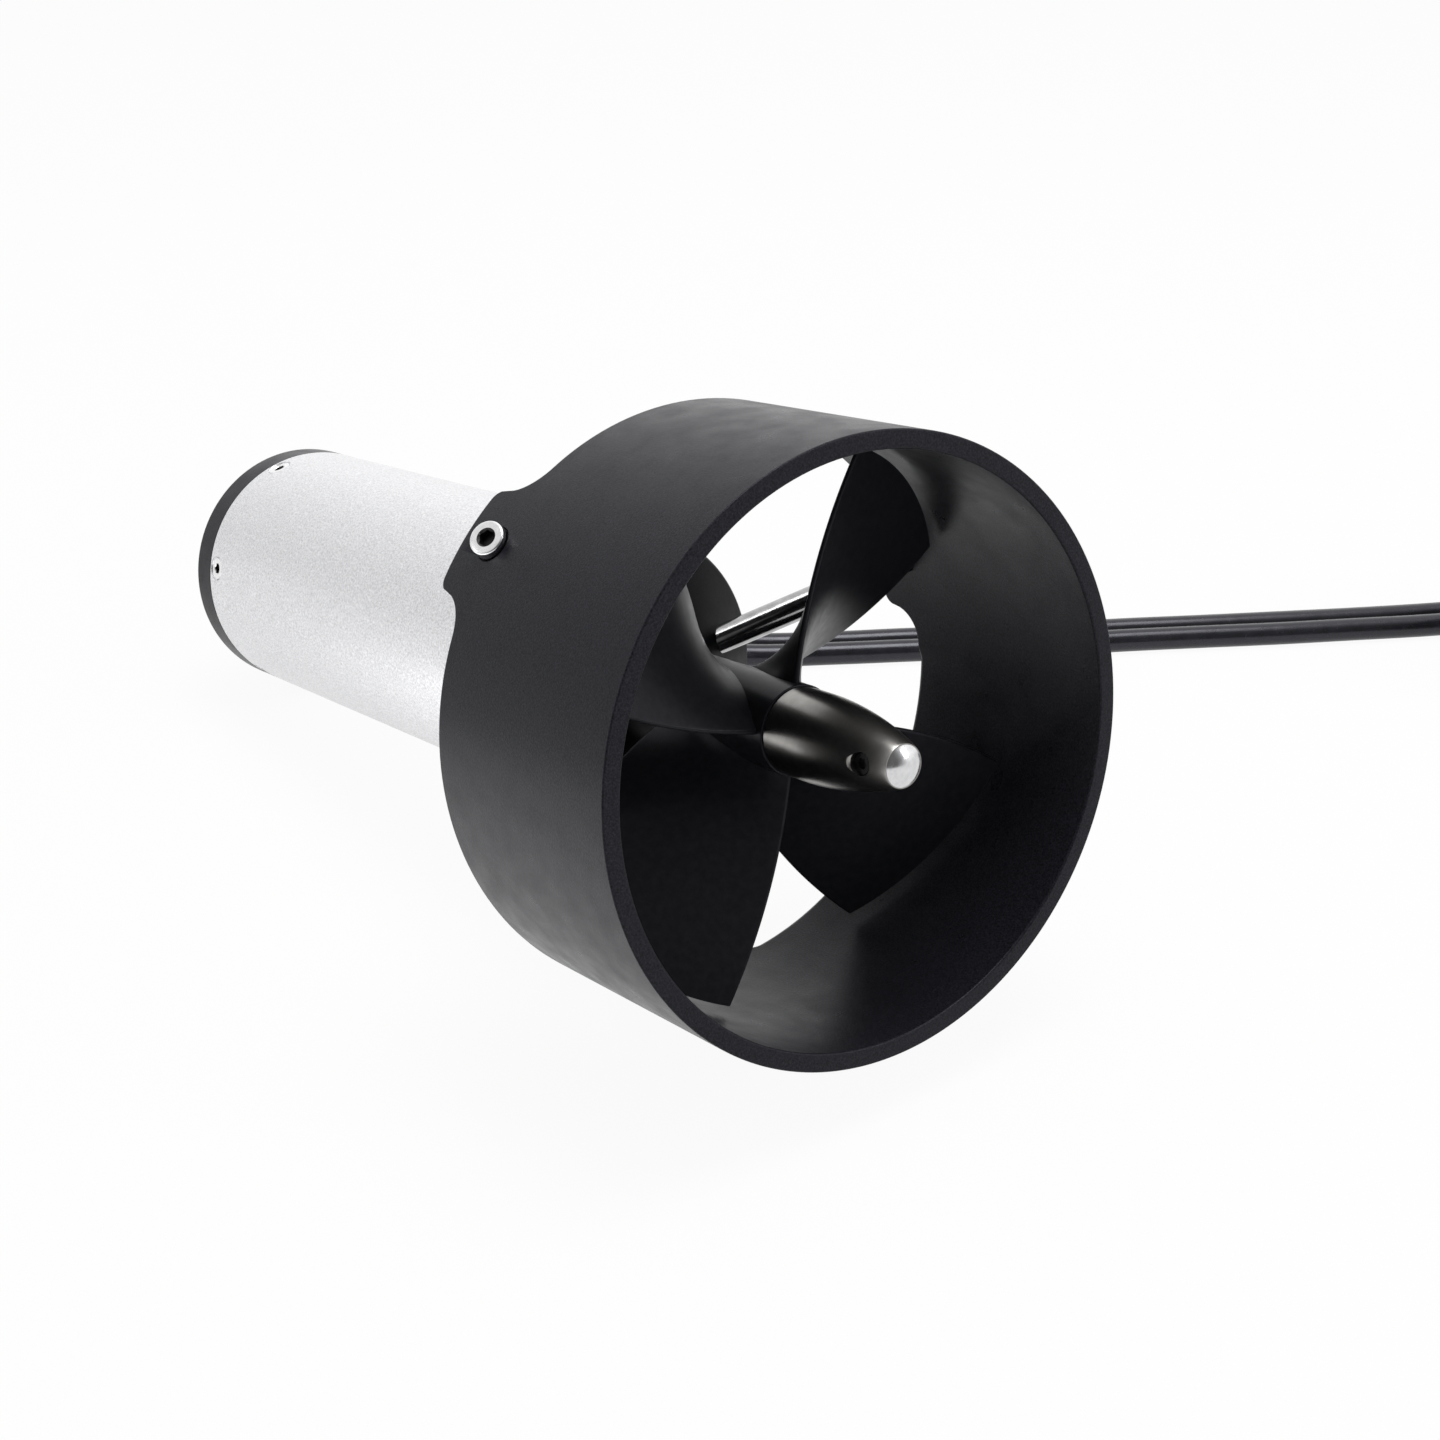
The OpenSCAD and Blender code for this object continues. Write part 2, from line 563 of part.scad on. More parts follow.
// Ogive: the spinner narrows along a quarter of an ellipse
spinner_mouth_r = shaft_r + run_gap + spinner_lip;
spinner_curve = spinner_len - spinner_straight;
function ogive_r(t) = spinner_mouth_r + (spinner_r - spinner_mouth_r) * pow(1 - pow(t, 1.8), 0.9);
module spinner_nut() color(anodised_black) place() difference() {
    revolve() polygon(concat(
        [[shaft_r + run_gap, spinner_seam], [spinner_r - rim_break, spinner_seam],
         [spinner_r, spinner_seam + rim_break]],
        [for (k = [0 : 14]) let (t = k / 14)
            [ogive_r(t), spinner_seam + spinner_straight + spinner_curve * t]],
        [[shaft_r + run_gap, spinner_tip]]));
    at_angle(grub_clock) radial(spinner_tip - grub_setback, shaft_r - 1, hub_r + 1, grub_hole_d);
}
module spinner_grub_screw() color(steel) place() at_angle(grub_clock) difference() {
    radial(spinner_tip - grub_setback, shaft_r + seat_gap, shaft_r + grub_len, grub_hole_d - 2 * seat_gap);
    translate([spinner_tip - grub_setback, shaft_r + grub_len / 2, 0]) rotate([-90, 0, 0])
        cylinder(d = m3_key / cos(30), h = 2, $fn = 6);
}

// Struts and duct
module strut(a) intersection() {
    difference() {
        at_strut(a) strut_rod(strut_end, duct_wall * 2, strut_d);
        at_strut(a) strut_rod(-duct_screw_reach - 1, duct_wall * 3, m4_shank_d + 2 * thread_gap);
    }
    ring(rear_face, 0, 0, duct_bore_r - seat_gap);
}
module strut_right() color(anodised_black) place() strut(strut_angles[0]);
module strut_left() color(anodised_black) place() strut(strut_angles[1]);
module strut_lower() color(anodised_black) place() strut(strut_angles[2]);

// Tab outline: hollow rounds leave the rim, a little past their tangent point so that the cut
// is clean, and run into the end's corner rounds
hollow_start = 12;
function arc(c, r, a0, a1, steps) = [for (k = [0 : steps]) let (a = a0 + (a1 - a0) * k / steps)
    [c[0] + r * cos(a), c[1] + r * sin(a)]];
function half_tab() = let (
    corner = [tab_end + tab_corner, tab_w / 2 - tab_corner],
    hollow_x = -duct_len - tab_fillet,
    reach = sqrt(pow(tab_fillet + tab_corner, 2) - pow(corner[0] - hollow_x, 2)),
    hollow = [hollow_x, corner[1] + reach],
    meet = -atan2(reach, corner[0] - hollow_x))
    concat([[inlet_break + 2 - duct_len, hollow[1] - tab_fillet * sin(hollow_start)]],
        arc(hollow, tab_fillet, -hollow_start, meet, 8),
        arc(corner, tab_corner, 180 + meet, 180, 6));
module tab_outline() {
    half = half_tab();
    polygon(concat(half, [for (k = [len(half) - 1 : -1 : 0]) [half[k][0], -half[k][1]]]));
}
module between_tabs() difference() {
    union() {
        ring(tab_end - 1, -duct_len, duct_bore_r - 1, duct_r + 1);
        revolve() polygon([[duct_bore_r - 1, inlet_break + 1 - duct_len], [duct_bore_r - 1, -1 - duct_len],
            [duct_bore_r + inlet_break + 1, -1 - duct_len]]);
    }
    for (a = strut_angles) at_angle(a) rotate([-90, 0, 0]) linear_extrude(duct_r + 2) tab_outline();
}
module duct() color(anodised_black) place() difference() {
    revolve() polygon([[duct_bore_r, tab_end], [duct_r, tab_end], [duct_r, -rim_break],
        [duct_r - rim_break, 0], [duct_bore_r + lip_break, 0], [duct_bore_r, -lip_break]]);
    between_tabs();
    for (a = strut_angles) at_strut(a) {
        strut_rod(-duct_wall * 2, duct_wall * 2, m4_shank_d + 2 * thread_gap);
        strut_rod(duct_wall / 2 - spotface_depth, duct_wall * 3, spotface_d);
    }
}
module duct_screws() color(stainless) place() for (a = strut_angles) at_strut(a) {
    seat = duct_wall / 2 - spotface_depth + seat_gap;
    difference() {
        union() {
            strut_rod(-duct_screw_reach, seat + 0.1, m4_shank_d);
            strut_rod(seat, seat + m4_head_h, m4_head_d);
        }
        translate([0, seat + m4_head_h / 2, 0]) rotate([-90, 0, 0])
            cylinder(d = m4_key / cos(30), h = m4_head_h, $fn = 6);
    }
}

// Leads: potted penetrators, two loose leads, and the coil that stores the rest of them
module at_penetrators() for (a = pen_angles) at_angle(a) translate([0, pen_r, 0]) children();
module lead_penetrators() color(steel) place() at_penetrators() union() {
    rod(rear_face - 1, spigot_rear_end - 2 - seat_gap, pen_shank_r);
    translate([rear_face - pen_hex_h, 0, 0]) along_axis()
        cylinder(d = pen_hex / cos(30), h = pen_hex_h - seat_gap, $fn = 6);
    rod(rear_face - pen_hex_h - pen_dome_h, rear_face - pen_hex_h + 0.1, pen_dome_r);
    translate([rear_face - pen_out, 0, 0]) along_axis()
        cylinder(r1 = lead_d / 2 + 0.6, r2 = pen_dome_r, h = pen_taper_h);
}
module penetrator_o_rings() color(rubber_black) place() at_penetrators()
    translate([rear_face + pen_o_section / 2 + seat_gap, 0, 0]) revolve()
    translate([pen_shank_r + thread_gap + pen_o_section / 2, 0]) circle(d = pen_o_section, $fn = 24);

lead_r = lead_d / 2;
lead_sides = 10;
lead_exits = [for (a = pen_angles) to_row(polar(rear_face - pen_out, pen_r, a))];
lead_starts = [for (a = pen_angles) to_row(polar(rear_face - pen_out - lead_d * 2, pen_r, a))];
// Floor routes of the two leads, in the frame of the finished part
route_a = [[-161, 18, 13], [-171, 26, 9], [-176, 38, 5.5], [-173, 50, 3.6], [-164, 60, 3.1],
    [-148, 66, 3.1], [-130, 69, 3.1], [-110, 71, 3.1], [-90, 73, 3.1], [-72, 77, 3.1], [-58, 84, 3.1],
    [-48, 93.5, 3.1], [-36, 112, 3.1], [-25.8, 128.8, 3.1], [-15.4, 145.6, 3.1], [-5.1, 163.3, 3.1],
    [5.2, 181.6, 3.1], [15.4, 198.9, 3.1], [25.7, 216.2, 3.1], [36, 234.5, 3.1], [46.3, 252.8, 3.1],
    [56.3, 271.3, 3.5], [65.2, 288.4, 4]];
route_b = [[-163, 18, 27], [-175, 26, 21], [-183, 38, 14], [-182, 51, 8], [-174, 62, 4.5],
    [-160, 70, 3.1], [-141, 74.5, 3.1], [-121, 76.5, 3.1], [-101, 78.5, 3.1], [-82, 81.5, 3.1],
    [-66, 88, 3.1], [-54, 97.5, 3.1], [-42, 115, 3.1], [-31.8, 132.3, 3.1], [-21.5, 148.6, 3.1],
    [-11.2, 166.4, 3.1], [-0.9, 184.7, 3.1], [9.4, 202, 3.1], [19.7, 219.7, 3.1], [30, 237.5, 3.1],
    [40.3, 256.3, 3.1], [50.3, 274.3, 3.5], [59.3, 291.3, 4]];
module lead_a() color(rubber_black)
    swept_tube(concat([lead_exits[0], lead_starts[0]], route_a), lead_r, lead_sides);
module lead_b() color(rubber_black)
    swept_tube(concat([lead_exits[1], lead_starts[1]], route_b), lead_r, lead_sides);

// The coil stands on its tie, two strands wide, with the connectors lying on top
coil_centre = [90.2, 274.4];
coil_w = 2 * lead_d + 0.4;
coil_h = 3.2 * lead_d;
tie_t = 0.8;
tie_w = 5;
tie_slack = 0.2;
tie_angle = -100;
sleeve_wall = 0.8;
sleeve_len = 20;
bullet_len = 13;
bullet_d = 5.5;
module at_coil() translate([coil_centre[0], coil_centre[1], tie_t]) children();
module lead_coil() color(rubber_black) at_coil() rotate_extrude()
    translate([coil_mean_d / 2 - coil_w / 2, 0]) square([coil_w, coil_h]);
module tie_box(grow, width) translate([coil_mean_d / 2 - coil_w / 2 - tie_slack - grow, -width / 2, -grow])
    cube([coil_w + 2 * tie_slack + 2 * grow, width, coil_h + 2 * grow]);
module coil_tie() color(rubber_black) at_coil() rotate([0, 0, tie_angle]) difference() {
    tie_box(tie_t, tie_w);
    tie_box(seat_gap, tie_w + 2);
}
module at_connectors() {
    sleeve_r = lead_r + sleeve_wall;
    for (side = [-1, 1]) at_coil()
        translate([-(sleeve_len + bullet_len) / 2,
            coil_mean_d / 2 - lead_r + side * (sleeve_r + seat_gap), coil_h + sleeve_r + seat_gap])
        children();
}
module bullet_connectors() color(brass) at_connectors() union() {
    rod(sleeve_len / 2, sleeve_len, lead_r - seat_gap);
    rod(sleeve_len - 0.1, sleeve_len + bullet_len - 2, bullet_d / 2);
    translate([sleeve_len + bullet_len - 2.05, 0, 0]) along_axis()
        cylinder(d1 = bullet_d, d2 = bullet_d - 2, h = 2.05);
}
module heat_shrink() color(rubber_black) at_connectors() ring(0, sleeve_len, lead_r, lead_r + sleeve_wall);

motor_tube();
front_cap();
rear_cap();
front_o_ring();
rear_o_ring();
front_cap_screws();
rear_cap_screws();
shaft_seals();
seal_circlip();
front_bearing_outer();
front_bearing_balls();
front_bearing_inner();
rear_bearing_outer();
rear_bearing_balls();
rear_bearing_inner();
flux_ring();
field_magnets();
brush_plate();
brushes();
brush_springs();
inner_leads();
shaft();
armature_core();
armature_winding();
commutator();
drive_pin();
propeller();
spinner_nut();
spinner_grub_screw();
strut_left();
strut_right();
strut_lower();
duct();
duct_screws();
lead_penetrators();
penetrator_o_rings();
lead_a();
lead_b();
lead_coil();
coil_tie();
bullet_connectors();
heat_shrink();
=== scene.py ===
"""Looks of the ducted underwater thruster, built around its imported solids.

Lengths in the tables below are in millimetres, as in the part's source, and SHAFT lays what is drawn
along the shaft (station 0 at the duct's open rim) down in the row frame, in metres.
"""

import json
import math

import bmesh
import bpy
import numpy as np
from mathutils import Matrix, Vector

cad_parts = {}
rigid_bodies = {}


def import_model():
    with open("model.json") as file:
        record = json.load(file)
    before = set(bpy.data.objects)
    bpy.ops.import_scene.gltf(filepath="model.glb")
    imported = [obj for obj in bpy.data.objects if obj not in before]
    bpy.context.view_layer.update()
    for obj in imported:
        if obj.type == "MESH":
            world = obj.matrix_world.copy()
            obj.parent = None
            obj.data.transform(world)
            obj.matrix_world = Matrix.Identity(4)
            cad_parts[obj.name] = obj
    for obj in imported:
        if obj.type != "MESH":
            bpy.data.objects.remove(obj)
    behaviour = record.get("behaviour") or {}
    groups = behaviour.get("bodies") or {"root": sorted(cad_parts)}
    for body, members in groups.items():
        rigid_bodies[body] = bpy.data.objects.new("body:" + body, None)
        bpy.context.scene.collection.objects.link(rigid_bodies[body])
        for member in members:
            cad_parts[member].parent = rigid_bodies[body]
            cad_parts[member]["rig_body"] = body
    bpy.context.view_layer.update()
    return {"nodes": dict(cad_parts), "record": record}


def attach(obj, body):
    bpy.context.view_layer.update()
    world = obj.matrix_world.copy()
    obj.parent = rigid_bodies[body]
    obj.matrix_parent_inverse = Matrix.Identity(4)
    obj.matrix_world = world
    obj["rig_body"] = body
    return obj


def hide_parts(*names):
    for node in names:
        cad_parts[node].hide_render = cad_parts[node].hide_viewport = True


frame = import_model()
nodes = frame["nodes"]
scene = bpy.context.scene

MM = 0.001
TILT = math.radians(10.3184)
SHIFT_X, LIFT = 112.296, 71.2852
SHAFT = Matrix.Translation((SHIFT_X * MM, 0, LIFT * MM)) @ Matrix.Rotation(-TILT, 4, "Y")

# Sizes repeated from the part's source
DUCT_R, DUCT_BORE_R, DUCT_LEN = 60.0, 57.2, 55.9
TAB_LEN, TAB_W, TAB_CORNER, TAB_FILLET = 9.6, 22.4, 2.5, 7.5
STRUT_ANGLES = (15.0, 135.0, 255.0)
STRUT_SLANT = math.radians(22)
SCREW_STATION, SCREW_R = -55.8, 58.6
SPOTFACE_D, SPOTFACE_FLOOR, M4_HOLE_D = 7.6, 0.4, 4.2
TUBE_R, SHOULDER = 30.0, -80.0
MOTOR_LEN, CAP_COLLAR, CAP_SPIGOT, BEARING_W = 153.8, 7.8, 14.0, 8.0
TUBE_FRONT, TUBE_REAR = SHOULDER - CAP_COLLAR, SHOULDER - MOTOR_LEN + CAP_COLLAR
SPIGOT_FRONT_END, SPIGOT_REAR_END = TUBE_FRONT - CAP_SPIGOT, TUBE_REAR + CAP_SPIGOT
PROP_R, PROP_RISE, BLADE_SKEW = 55.0, 137 / 360, 12.0
BLADE_STATION, BLADE_CLOCK = -34.0, -40.0
BLADE_FRONT, BLADE_REAR_TIP, BLADE_REAR_ROOT = 22.7, 21.2, 52.0
HUB_R, SPINNER_SEAM, SPINNER_TIP = 9.0, -23.7, 7.1
HUB_REAR = BLADE_STATION - PROP_RISE * BLADE_REAR_ROOT - 1.2
NECK_R, NECK_FRONT = 9.0, HUB_REAR - 1.5
SHAFT_R, ROTOR_SHAFT_R, SHAFT_TIP, SHAFT_DOME = 4.0, 5.0, 8.3, 1.2
LEAD_D = 6.2

# Gap left between drawn pieces, how far a cut runs past a surface, and the width of a cone's point
CLEARANCE, OVER, POINT_D = 0.02, 1.0, 0.01
SHARP_ANGLE, NEARLY_STRAIGHT = math.radians(38), math.radians(88)


def smooth(t):
    """Eased step from 0 to 1."""
    t = min(max(t, 0), 1)
    return t * t * (3 - 2 * t)


def mesh_object(name, mesh, node, material):
    """Shows a mesh drawn along the shaft in place of a CAD node, on that node's body."""
    mesh.transform(SHAFT @ Matrix.Scale(MM, 4))
    mesh.materials.append(material)
    mesh.shade_smooth()
    mesh.set_sharp_from_angle(angle=SHARP_ANGLE)
    piece = bpy.data.objects.new(name, mesh)
    scene.collection.objects.link(piece)
    normals = piece.modifiers.new("normals", "WEIGHTED_NORMAL")
    normals.keep_sharp = True
    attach(piece, nodes[node]["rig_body"])
    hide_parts(node)


def polar(station, r, degrees):
    """Point at a station, a radius and an angle about the shaft."""
    a = math.radians(degrees)
    return Vector((station, r * math.cos(a), r * math.sin(a)))


def finished(bm, name):
    """The mesh, with its faces turned outward."""
    bmesh.ops.recalc_face_normals(bm, faces=bm.faces)
    mesh = bpy.data.meshes.new(name)
    bm.to_mesh(mesh)
    bm.free()
    return mesh


def closed_mesh(name, rings, wrap=True):
    """Skin over rings of equally many points. Without wrap the first and last rings are capped."""
    bm = bmesh.new()
    rows = [[bm.verts.new(p) for p in ring] for ring in rings]
    count = len(rows)
    for i in range(count if wrap else count - 1):
        a, b = rows[i], rows[(i + 1) % count]
        for k in range(len(a)):
            bm.faces.new((a[k], a[(k + 1) % len(a)], b[(k + 1) % len(a)], b[k]))
    if not wrap:
        bm.faces.new(rows[0][::-1])
        bm.faces.new(rows[-1])
    return finished(bm, name)


def lathe(name, profile, segments=160):
    """Solid of revolution about the shaft from a closed outline of (station, radius)."""
    bm = bmesh.new()
    turns = [math.tau * k / segments for k in range(segments)]
    rows = []
    for station, r in profile:
        if r < 1e-6:
            rows.append([bm.verts.new((station, 0, 0))] * segments)
        else:
            rows.append([bm.verts.new((station, r * math.cos(t), r * math.sin(t))) for t in turns])
    for a, b in zip(rows, rows[1:] + rows[:1]):
        for k in range(segments):
            n = (k + 1) % segments
            corners = list(dict.fromkeys((a[k], a[n], b[n], b[k])))
            if len(corners) > 2:
                bm.faces.new(corners)
    return finished(bm, name)


def eased(points, steps=4):
    """The outline with corners rounded by the radius given as a point's third number, or left sharp."""
    out = []
    count = len(points)
    for i, p in enumerate(points):
        r = p[2] if len(p) > 2 else 0
        here = Vector(p[:2])
        before = Vector(points[i - 1][:2]) - here
        after = Vector(points[(i + 1) % count][:2]) - here
        if r <= 0 or before.length < 1e-9 or after.length < 1e-9:
            out.append(tuple(here))
            continue
        before.normalize()
        after.normalize()
        half = before.angle(after) / 2
        if half > NEARLY_STRAIGHT:
            out.append(tuple(here))
            continue
        reach = r / math.tan(half)
        centre = here + (before + after).normalized() * (r / math.sin(half))
        start, end = here + before * reach - centre, here + after * reach - centre
        sweep = start.angle_signed(end)
        for k in range(steps + 1):
            turn = Matrix.Rotation(-sweep * k / steps, 2)
            out.append(tuple(centre + turn @ start))
    return out


def combined(mesh, cutters, operation):
    """The mesh with other meshes cut from it or joined to it."""
    base = bpy.data.objects.new("base", mesh)
    scene.collection.objects.link(base)
    others = bpy.data.collections.new("others")
    for cutter in cutters:
        others.objects.link(bpy.data.objects.new("other", cutter))
    modifier = base.modifiers.new("combine", "BOOLEAN")
    modifier.operation = operation
    modifier.solver = "EXACT"
    modifier.operand_type = "COLLECTION"
    modifier.collection = others
    bpy.context.view_layer.update()
    result = bpy.data.meshes.new_from_object(base.evaluated_get(bpy.context.evaluated_depsgraph_get()))
    for o in [base, *others.objects]:
        bpy.data.objects.remove(o)
    bpy.data.collections.remove(others)
    return result


def drill(name, place, start, end, diameter, end_diameter=None, sides=64):
    """Cylinder or cone along +Y of a placed frame, between two distances along it."""
    turns = [math.tau * k / sides for k in range(sides)]
    rings = [[(d / 2 * math.cos(t), y, d / 2 * math.sin(t)) for t in turns]
             for y, d in ((start, diameter), (end, end_diameter or diameter))]
    mesh = closed_mesh(name, rings, wrap=False)
    mesh.transform(place)
    return mesh


def countersink(name, place, at, mouth, over=OVER):
    """Cone of 90 degrees along +Y of a placed frame, as wide as the mouth at that distance."""
    return drill(name, place, at - mouth / 2, at + over, POINT_D, mouth + 2 * over)


# Materials


NOISE_LOW, NOISE_HIGH = 0.3, 0.7


class Surface:
    """A node material whose colour, roughness and relief wander. Distances are in millimetres."""

    def __init__(self, name, colour, roughness, metallic=0.0, specular=0.5, sheen=(1, 1, 1)):
        self.material = bpy.data.materials.new(name)
        self.material.use_nodes = True
        self.tree = self.material.node_tree
        self.shader = self.tree.nodes["Principled BSDF"]
        self.colour, self.roughness = colour, roughness
        self.set("Base Color", (*colour, 1))
        self.set("Roughness", roughness)
        self.set("Metallic", metallic)
        self.set("Specular IOR Level", specular)
        self.set("Specular Tint", (*sheen, 1))
        self.place = self.add("ShaderNodeTexCoord").outputs["Object"]

    def set(self, socket, value):
        self.shader.inputs[socket].default_value = value

    def add(self, kind, **values):
        node = self.tree.nodes.new(kind)
        for key, value in values.items():
            setattr(node, key, value)
        return node

    def link(self, a, b):
        self.tree.links.new(a, b)

    def along_shaft(self):
        """Switches to coordinates whose X runs along the shaft."""
        turn = self.add("ShaderNodeMapping")
        turn.inputs["Rotation"].default_value = (0, TILT, 0)
        self.link(self.place, turn.inputs["Vector"])
        self.place = turn.outputs["Vector"]
        return self

    def noise(self, size, detail=2.0, stretch=None):
        """Noise of that grain size, which may be drawn out along an axis."""
        place = self.place
        if stretch:
            scale = self.add("ShaderNodeMapping")
            scale.inputs["Scale"].default_value = stretch
            self.link(place, scale.inputs["Vector"])
            place = scale.outputs["Vector"]
        node = self.add("ShaderNodeTexNoise")
        node.inputs["Scale"].default_value = 1 / (size * MM)
        node.inputs["Detail"].default_value = detail
        self.link(place, node.inputs["Vector"])
        return node.outputs["Fac"]

    def ranged(self, value, low, high):
        """Noise spread over a range of values."""
        node = self.add("ShaderNodeMapRange")
        for socket, number in zip(("From Min", "From Max", "To Min", "To Max"), (NOISE_LOW, NOISE_HIGH, low, high)):
            node.inputs[socket].default_value = number
        self.link(value, node.inputs["Value"])
        return node.outputs["Result"]

    def drift(self, size, darker, lighter, detail=2.0):
        """Lets the colour wander between two multiples of itself."""
        mix = self.add("ShaderNodeMix", data_type="RGBA")
        mix_inputs = {i.identifier: i for i in mix.inputs}
        mix_inputs["A_Color"].default_value = (*[c * darker for c in self.colour], 1)
        mix_inputs["B_Color"].default_value = (*[min(c * lighter, 1) for c in self.colour], 1)
        self.link(self.ranged(self.noise(size, detail), 0, 1), mix_inputs["Factor_Float"])
        self.link({o.identifier: o for o in mix.outputs}["Result_Color"], self.shader.inputs["Base Color"])
        return self

    def rough(self, size, spread, stretch=None):
        """Lets the roughness wander to either side of its value."""
        low, high = self.roughness - spread, self.roughness + spread
        self.link(self.ranged(self.noise(size, stretch=stretch), low, high), self.shader.inputs["Roughness"])
        return self

    def bump(self, size, depth, detail=2.0, stretch=None):
        """Gives the surface a fine relief of that depth."""
        node = self.add("ShaderNodeBump")
        node.inputs["Strength"].default_value = 1.0
        node.inputs["Distance"].default_value = depth * MM
        self.link(self.noise(size, detail, stretch), node.inputs["Height"])
        self.link(node.outputs["Normal"], self.shader.inputs["Normal"])
        return self


# Cool sheen of the black finishes, and the fine rings that turning leaves round the shaft
COOL = (0.90, 0.90, 1.0)
TURNED, TURNED_DOME, MILLED = (1, 0.02, 0.02), (1, 0.05, 0.05), (0.15, 1, 1)

duct_black = (Surface("black_anodised", (0.0100, 0.0100, 0.0130), 0.32, specular=0.13, sheen=COOL)
              .drift(0.36, 0.4, 2.2, 3).rough(6, 0.05).bump(0.32, 0.034, 3))
# The front cap gets a darker copy of the anodised black, as painted shade where the duct shadows the cap
cap_black_painted_shade = (Surface("cap_black_painted_shade", (0.0035, 0.0035, 0.0045), 0.34, specular=0.04, sheen=COOL)
             .drift(0.5, 0.6, 1.5, 3).rough(4, 0.05).bump(0.30, 0.008, 3))
gloss_black = (Surface("black_polished", (0.38, 0.38, 0.38), 0.17, metallic=1.0)
               .drift(3, 0.8, 1.2).rough(1.2, 0.04).bump(0.6, 0.0006))
spinner_black = (Surface("spinner_black", (0.31, 0.30, 0.287), 0.29, metallic=1.0).along_shaft()
                 .drift(3, 0.9, 1.1).rough(0.25, 0.012, TURNED)
                 .bump(0.22, 0.00008, stretch=TURNED))
blade_black = (Surface("black_machined", (0.0160, 0.0160, 0.0195), 0.32, specular=0.14, sheen=COOL)
               .drift(1.5, 0.85, 1.2).rough(2, 0.03, (0.12, 1, 1)).bump(0.35, 0.0006, stretch=MILLED))
tube_silver = (Surface("silver_anodised", (0.77, 0.77, 0.785), 0.36, metallic=1.0)
               .drift(0.42, 0.76, 1.2, 3).rough(5, 0.04).bump(0.34, 0.025, 3))
stainless = (Surface("stainless", (0.84, 0.84, 0.85), 0.20, metallic=1.0)
             .drift(1, 0.92, 1.06).rough(0.4, 0.06).bump(0.15, 0.0012))
# Near-black steel painted into the hex sockets, the grub hole and onto the grub screw, as shade in those recesses
recess_painted_shade = (Surface("recess_painted_shade", (0.05, 0.05, 0.05), 0.5, metallic=1.0)
                .drift(1, 0.9, 1.1).rough(0.4, 0.06).bump(0.2, 0.002))
dome_steel = (Surface("dome_steel", (0.66, 0.66, 0.67), 0.17, metallic=1.0).along_shaft()
              .drift(1, 0.94, 1.05).rough(0.3, 0.05, TURNED_DOME).bump(0.15, 0.0010, stretch=TURNED_DOME))
bearing_steel = (Surface("bearing_steel", (0.45, 0.46, 0.48), 0.25, metallic=1.0)
                 .drift(1.5, 0.9, 1.08).rough(0.5, 0.06).bump(0.2, 0.001))
ferrite = (Surface("ferrite", (0.10, 0.10, 0.11), 0.55)
           .drift(0.8, 0.8, 1.2).rough(1, 0.06).bump(0.4, 0.01))
copper = (Surface("copper", (0.66, 0.33, 0.16), 0.3, metallic=1.0)
          .drift(0.9, 0.8, 1.15).rough(0.6, 0.08).bump(0.5, 0.03))
laminate = (Surface("laminate", (0.42, 0.27, 0.12), 0.5)
            .drift(1.2, 0.8, 1.2).rough(1, 0.08).bump(0.4, 0.008))
graphite = (Surface("graphite", (0.06, 0.06, 0.065), 0.5)
            .drift(0.6, 0.8, 1.2).rough(0.8, 0.06).bump(0.3, 0.006))
gland_metal = (Surface("gland_metal", (0.016, 0.016, 0.018), 0.34)
               .drift(0.6, 0.8, 1.3).rough(3, 0.05).bump(0.25, 0.004))
seal_rubber = (Surface("seal_rubber", (0.015, 0.015, 0.015), 0.45)
               .drift(1, 0.8, 1.2).rough(1, 0.06).bump(0.5, 0.004))
lead_rubber = (Surface("lead_rubber", (0.014, 0.014, 0.017), 0.24, sheen=COOL)
               .drift(4, 0.85, 1.2).rough(3, 0.04).bump(2.5, 0.008))
shrink_plastic = (Surface("shrink_plastic", (0.014, 0.014, 0.015), 0.4)
                  .drift(1, 0.8, 1.2).rough(1.5, 0.08).bump(0.8, 0.012))
gilt = (Surface("gilt", (0.80, 0.60, 0.25), 0.22, metallic=1.0)
        .drift(1, 0.9, 1.08).rough(0.6, 0.06).bump(0.2, 0.001))

FINISHES = {
    "silver_anodised": tube_silver, "black_anodised": duct_black, "black_polished": gloss_black,
    "black_machined": blade_black, "stainless": stainless, "bearing_steel": bearing_steel, "ferrite": ferrite,
    "copper": copper, "laminate": laminate, "graphite": graphite, "gland_metal": gland_metal,
    "seal_rubber": seal_rubber, "lead_rubber": lead_rubber, "shrink_plastic": shrink_plastic, "gilt": gilt,
}
for part in frame["record"]["subparts"]:
    skin = nodes[part["node"]].data.materials
    skin.clear()
    skin.append(FINISHES[part["material_slot"]].material)
# The grub screw down in its hole takes the same near-black steel, as painted shade
nodes["spinner_grub_screw"].data.materials[0] = recess_painted_shade.material

# Duct: one wall whose rear edge follows the tabs, with a spotface and hole for each strut's screw

FRONT_BREAK, LIP_BREAK, REAR_BREAK, INLET_BREAK = 0.35, 0.45, 0.3, 1.7
RIM_BORE_R, INLET_FADE, WALL_ROWS = 56.3, 3.0, 8
TAB_PITCH, TAB_REACH, FINE_STEP, WIDE_STEP = 120.0, 26.0, 0.4, 2.0
SCREW_HOLE_REACH, SPOTFACE_TOP = 6.6, 9.9
TAB_CORNER_AT = (-(DUCT_LEN + TAB_LEN) + TAB_CORNER, TAB_W / 2 - TAB_CORNER)
HOLLOW_X = -DUCT_LEN - TAB_FILLET
HOLLOW_Y = TAB_CORNER_AT[1] + math.sqrt((TAB_FILLET + TAB_CORNER) ** 2 - (TAB_CORNER_AT[0] - HOLLOW_X) ** 2)
TAB_MEET_Y = TAB_CORNER_AT[1] + TAB_CORNER * (HOLLOW_Y - TAB_CORNER_AT[1]) / (TAB_FILLET + TAB_CORNER)


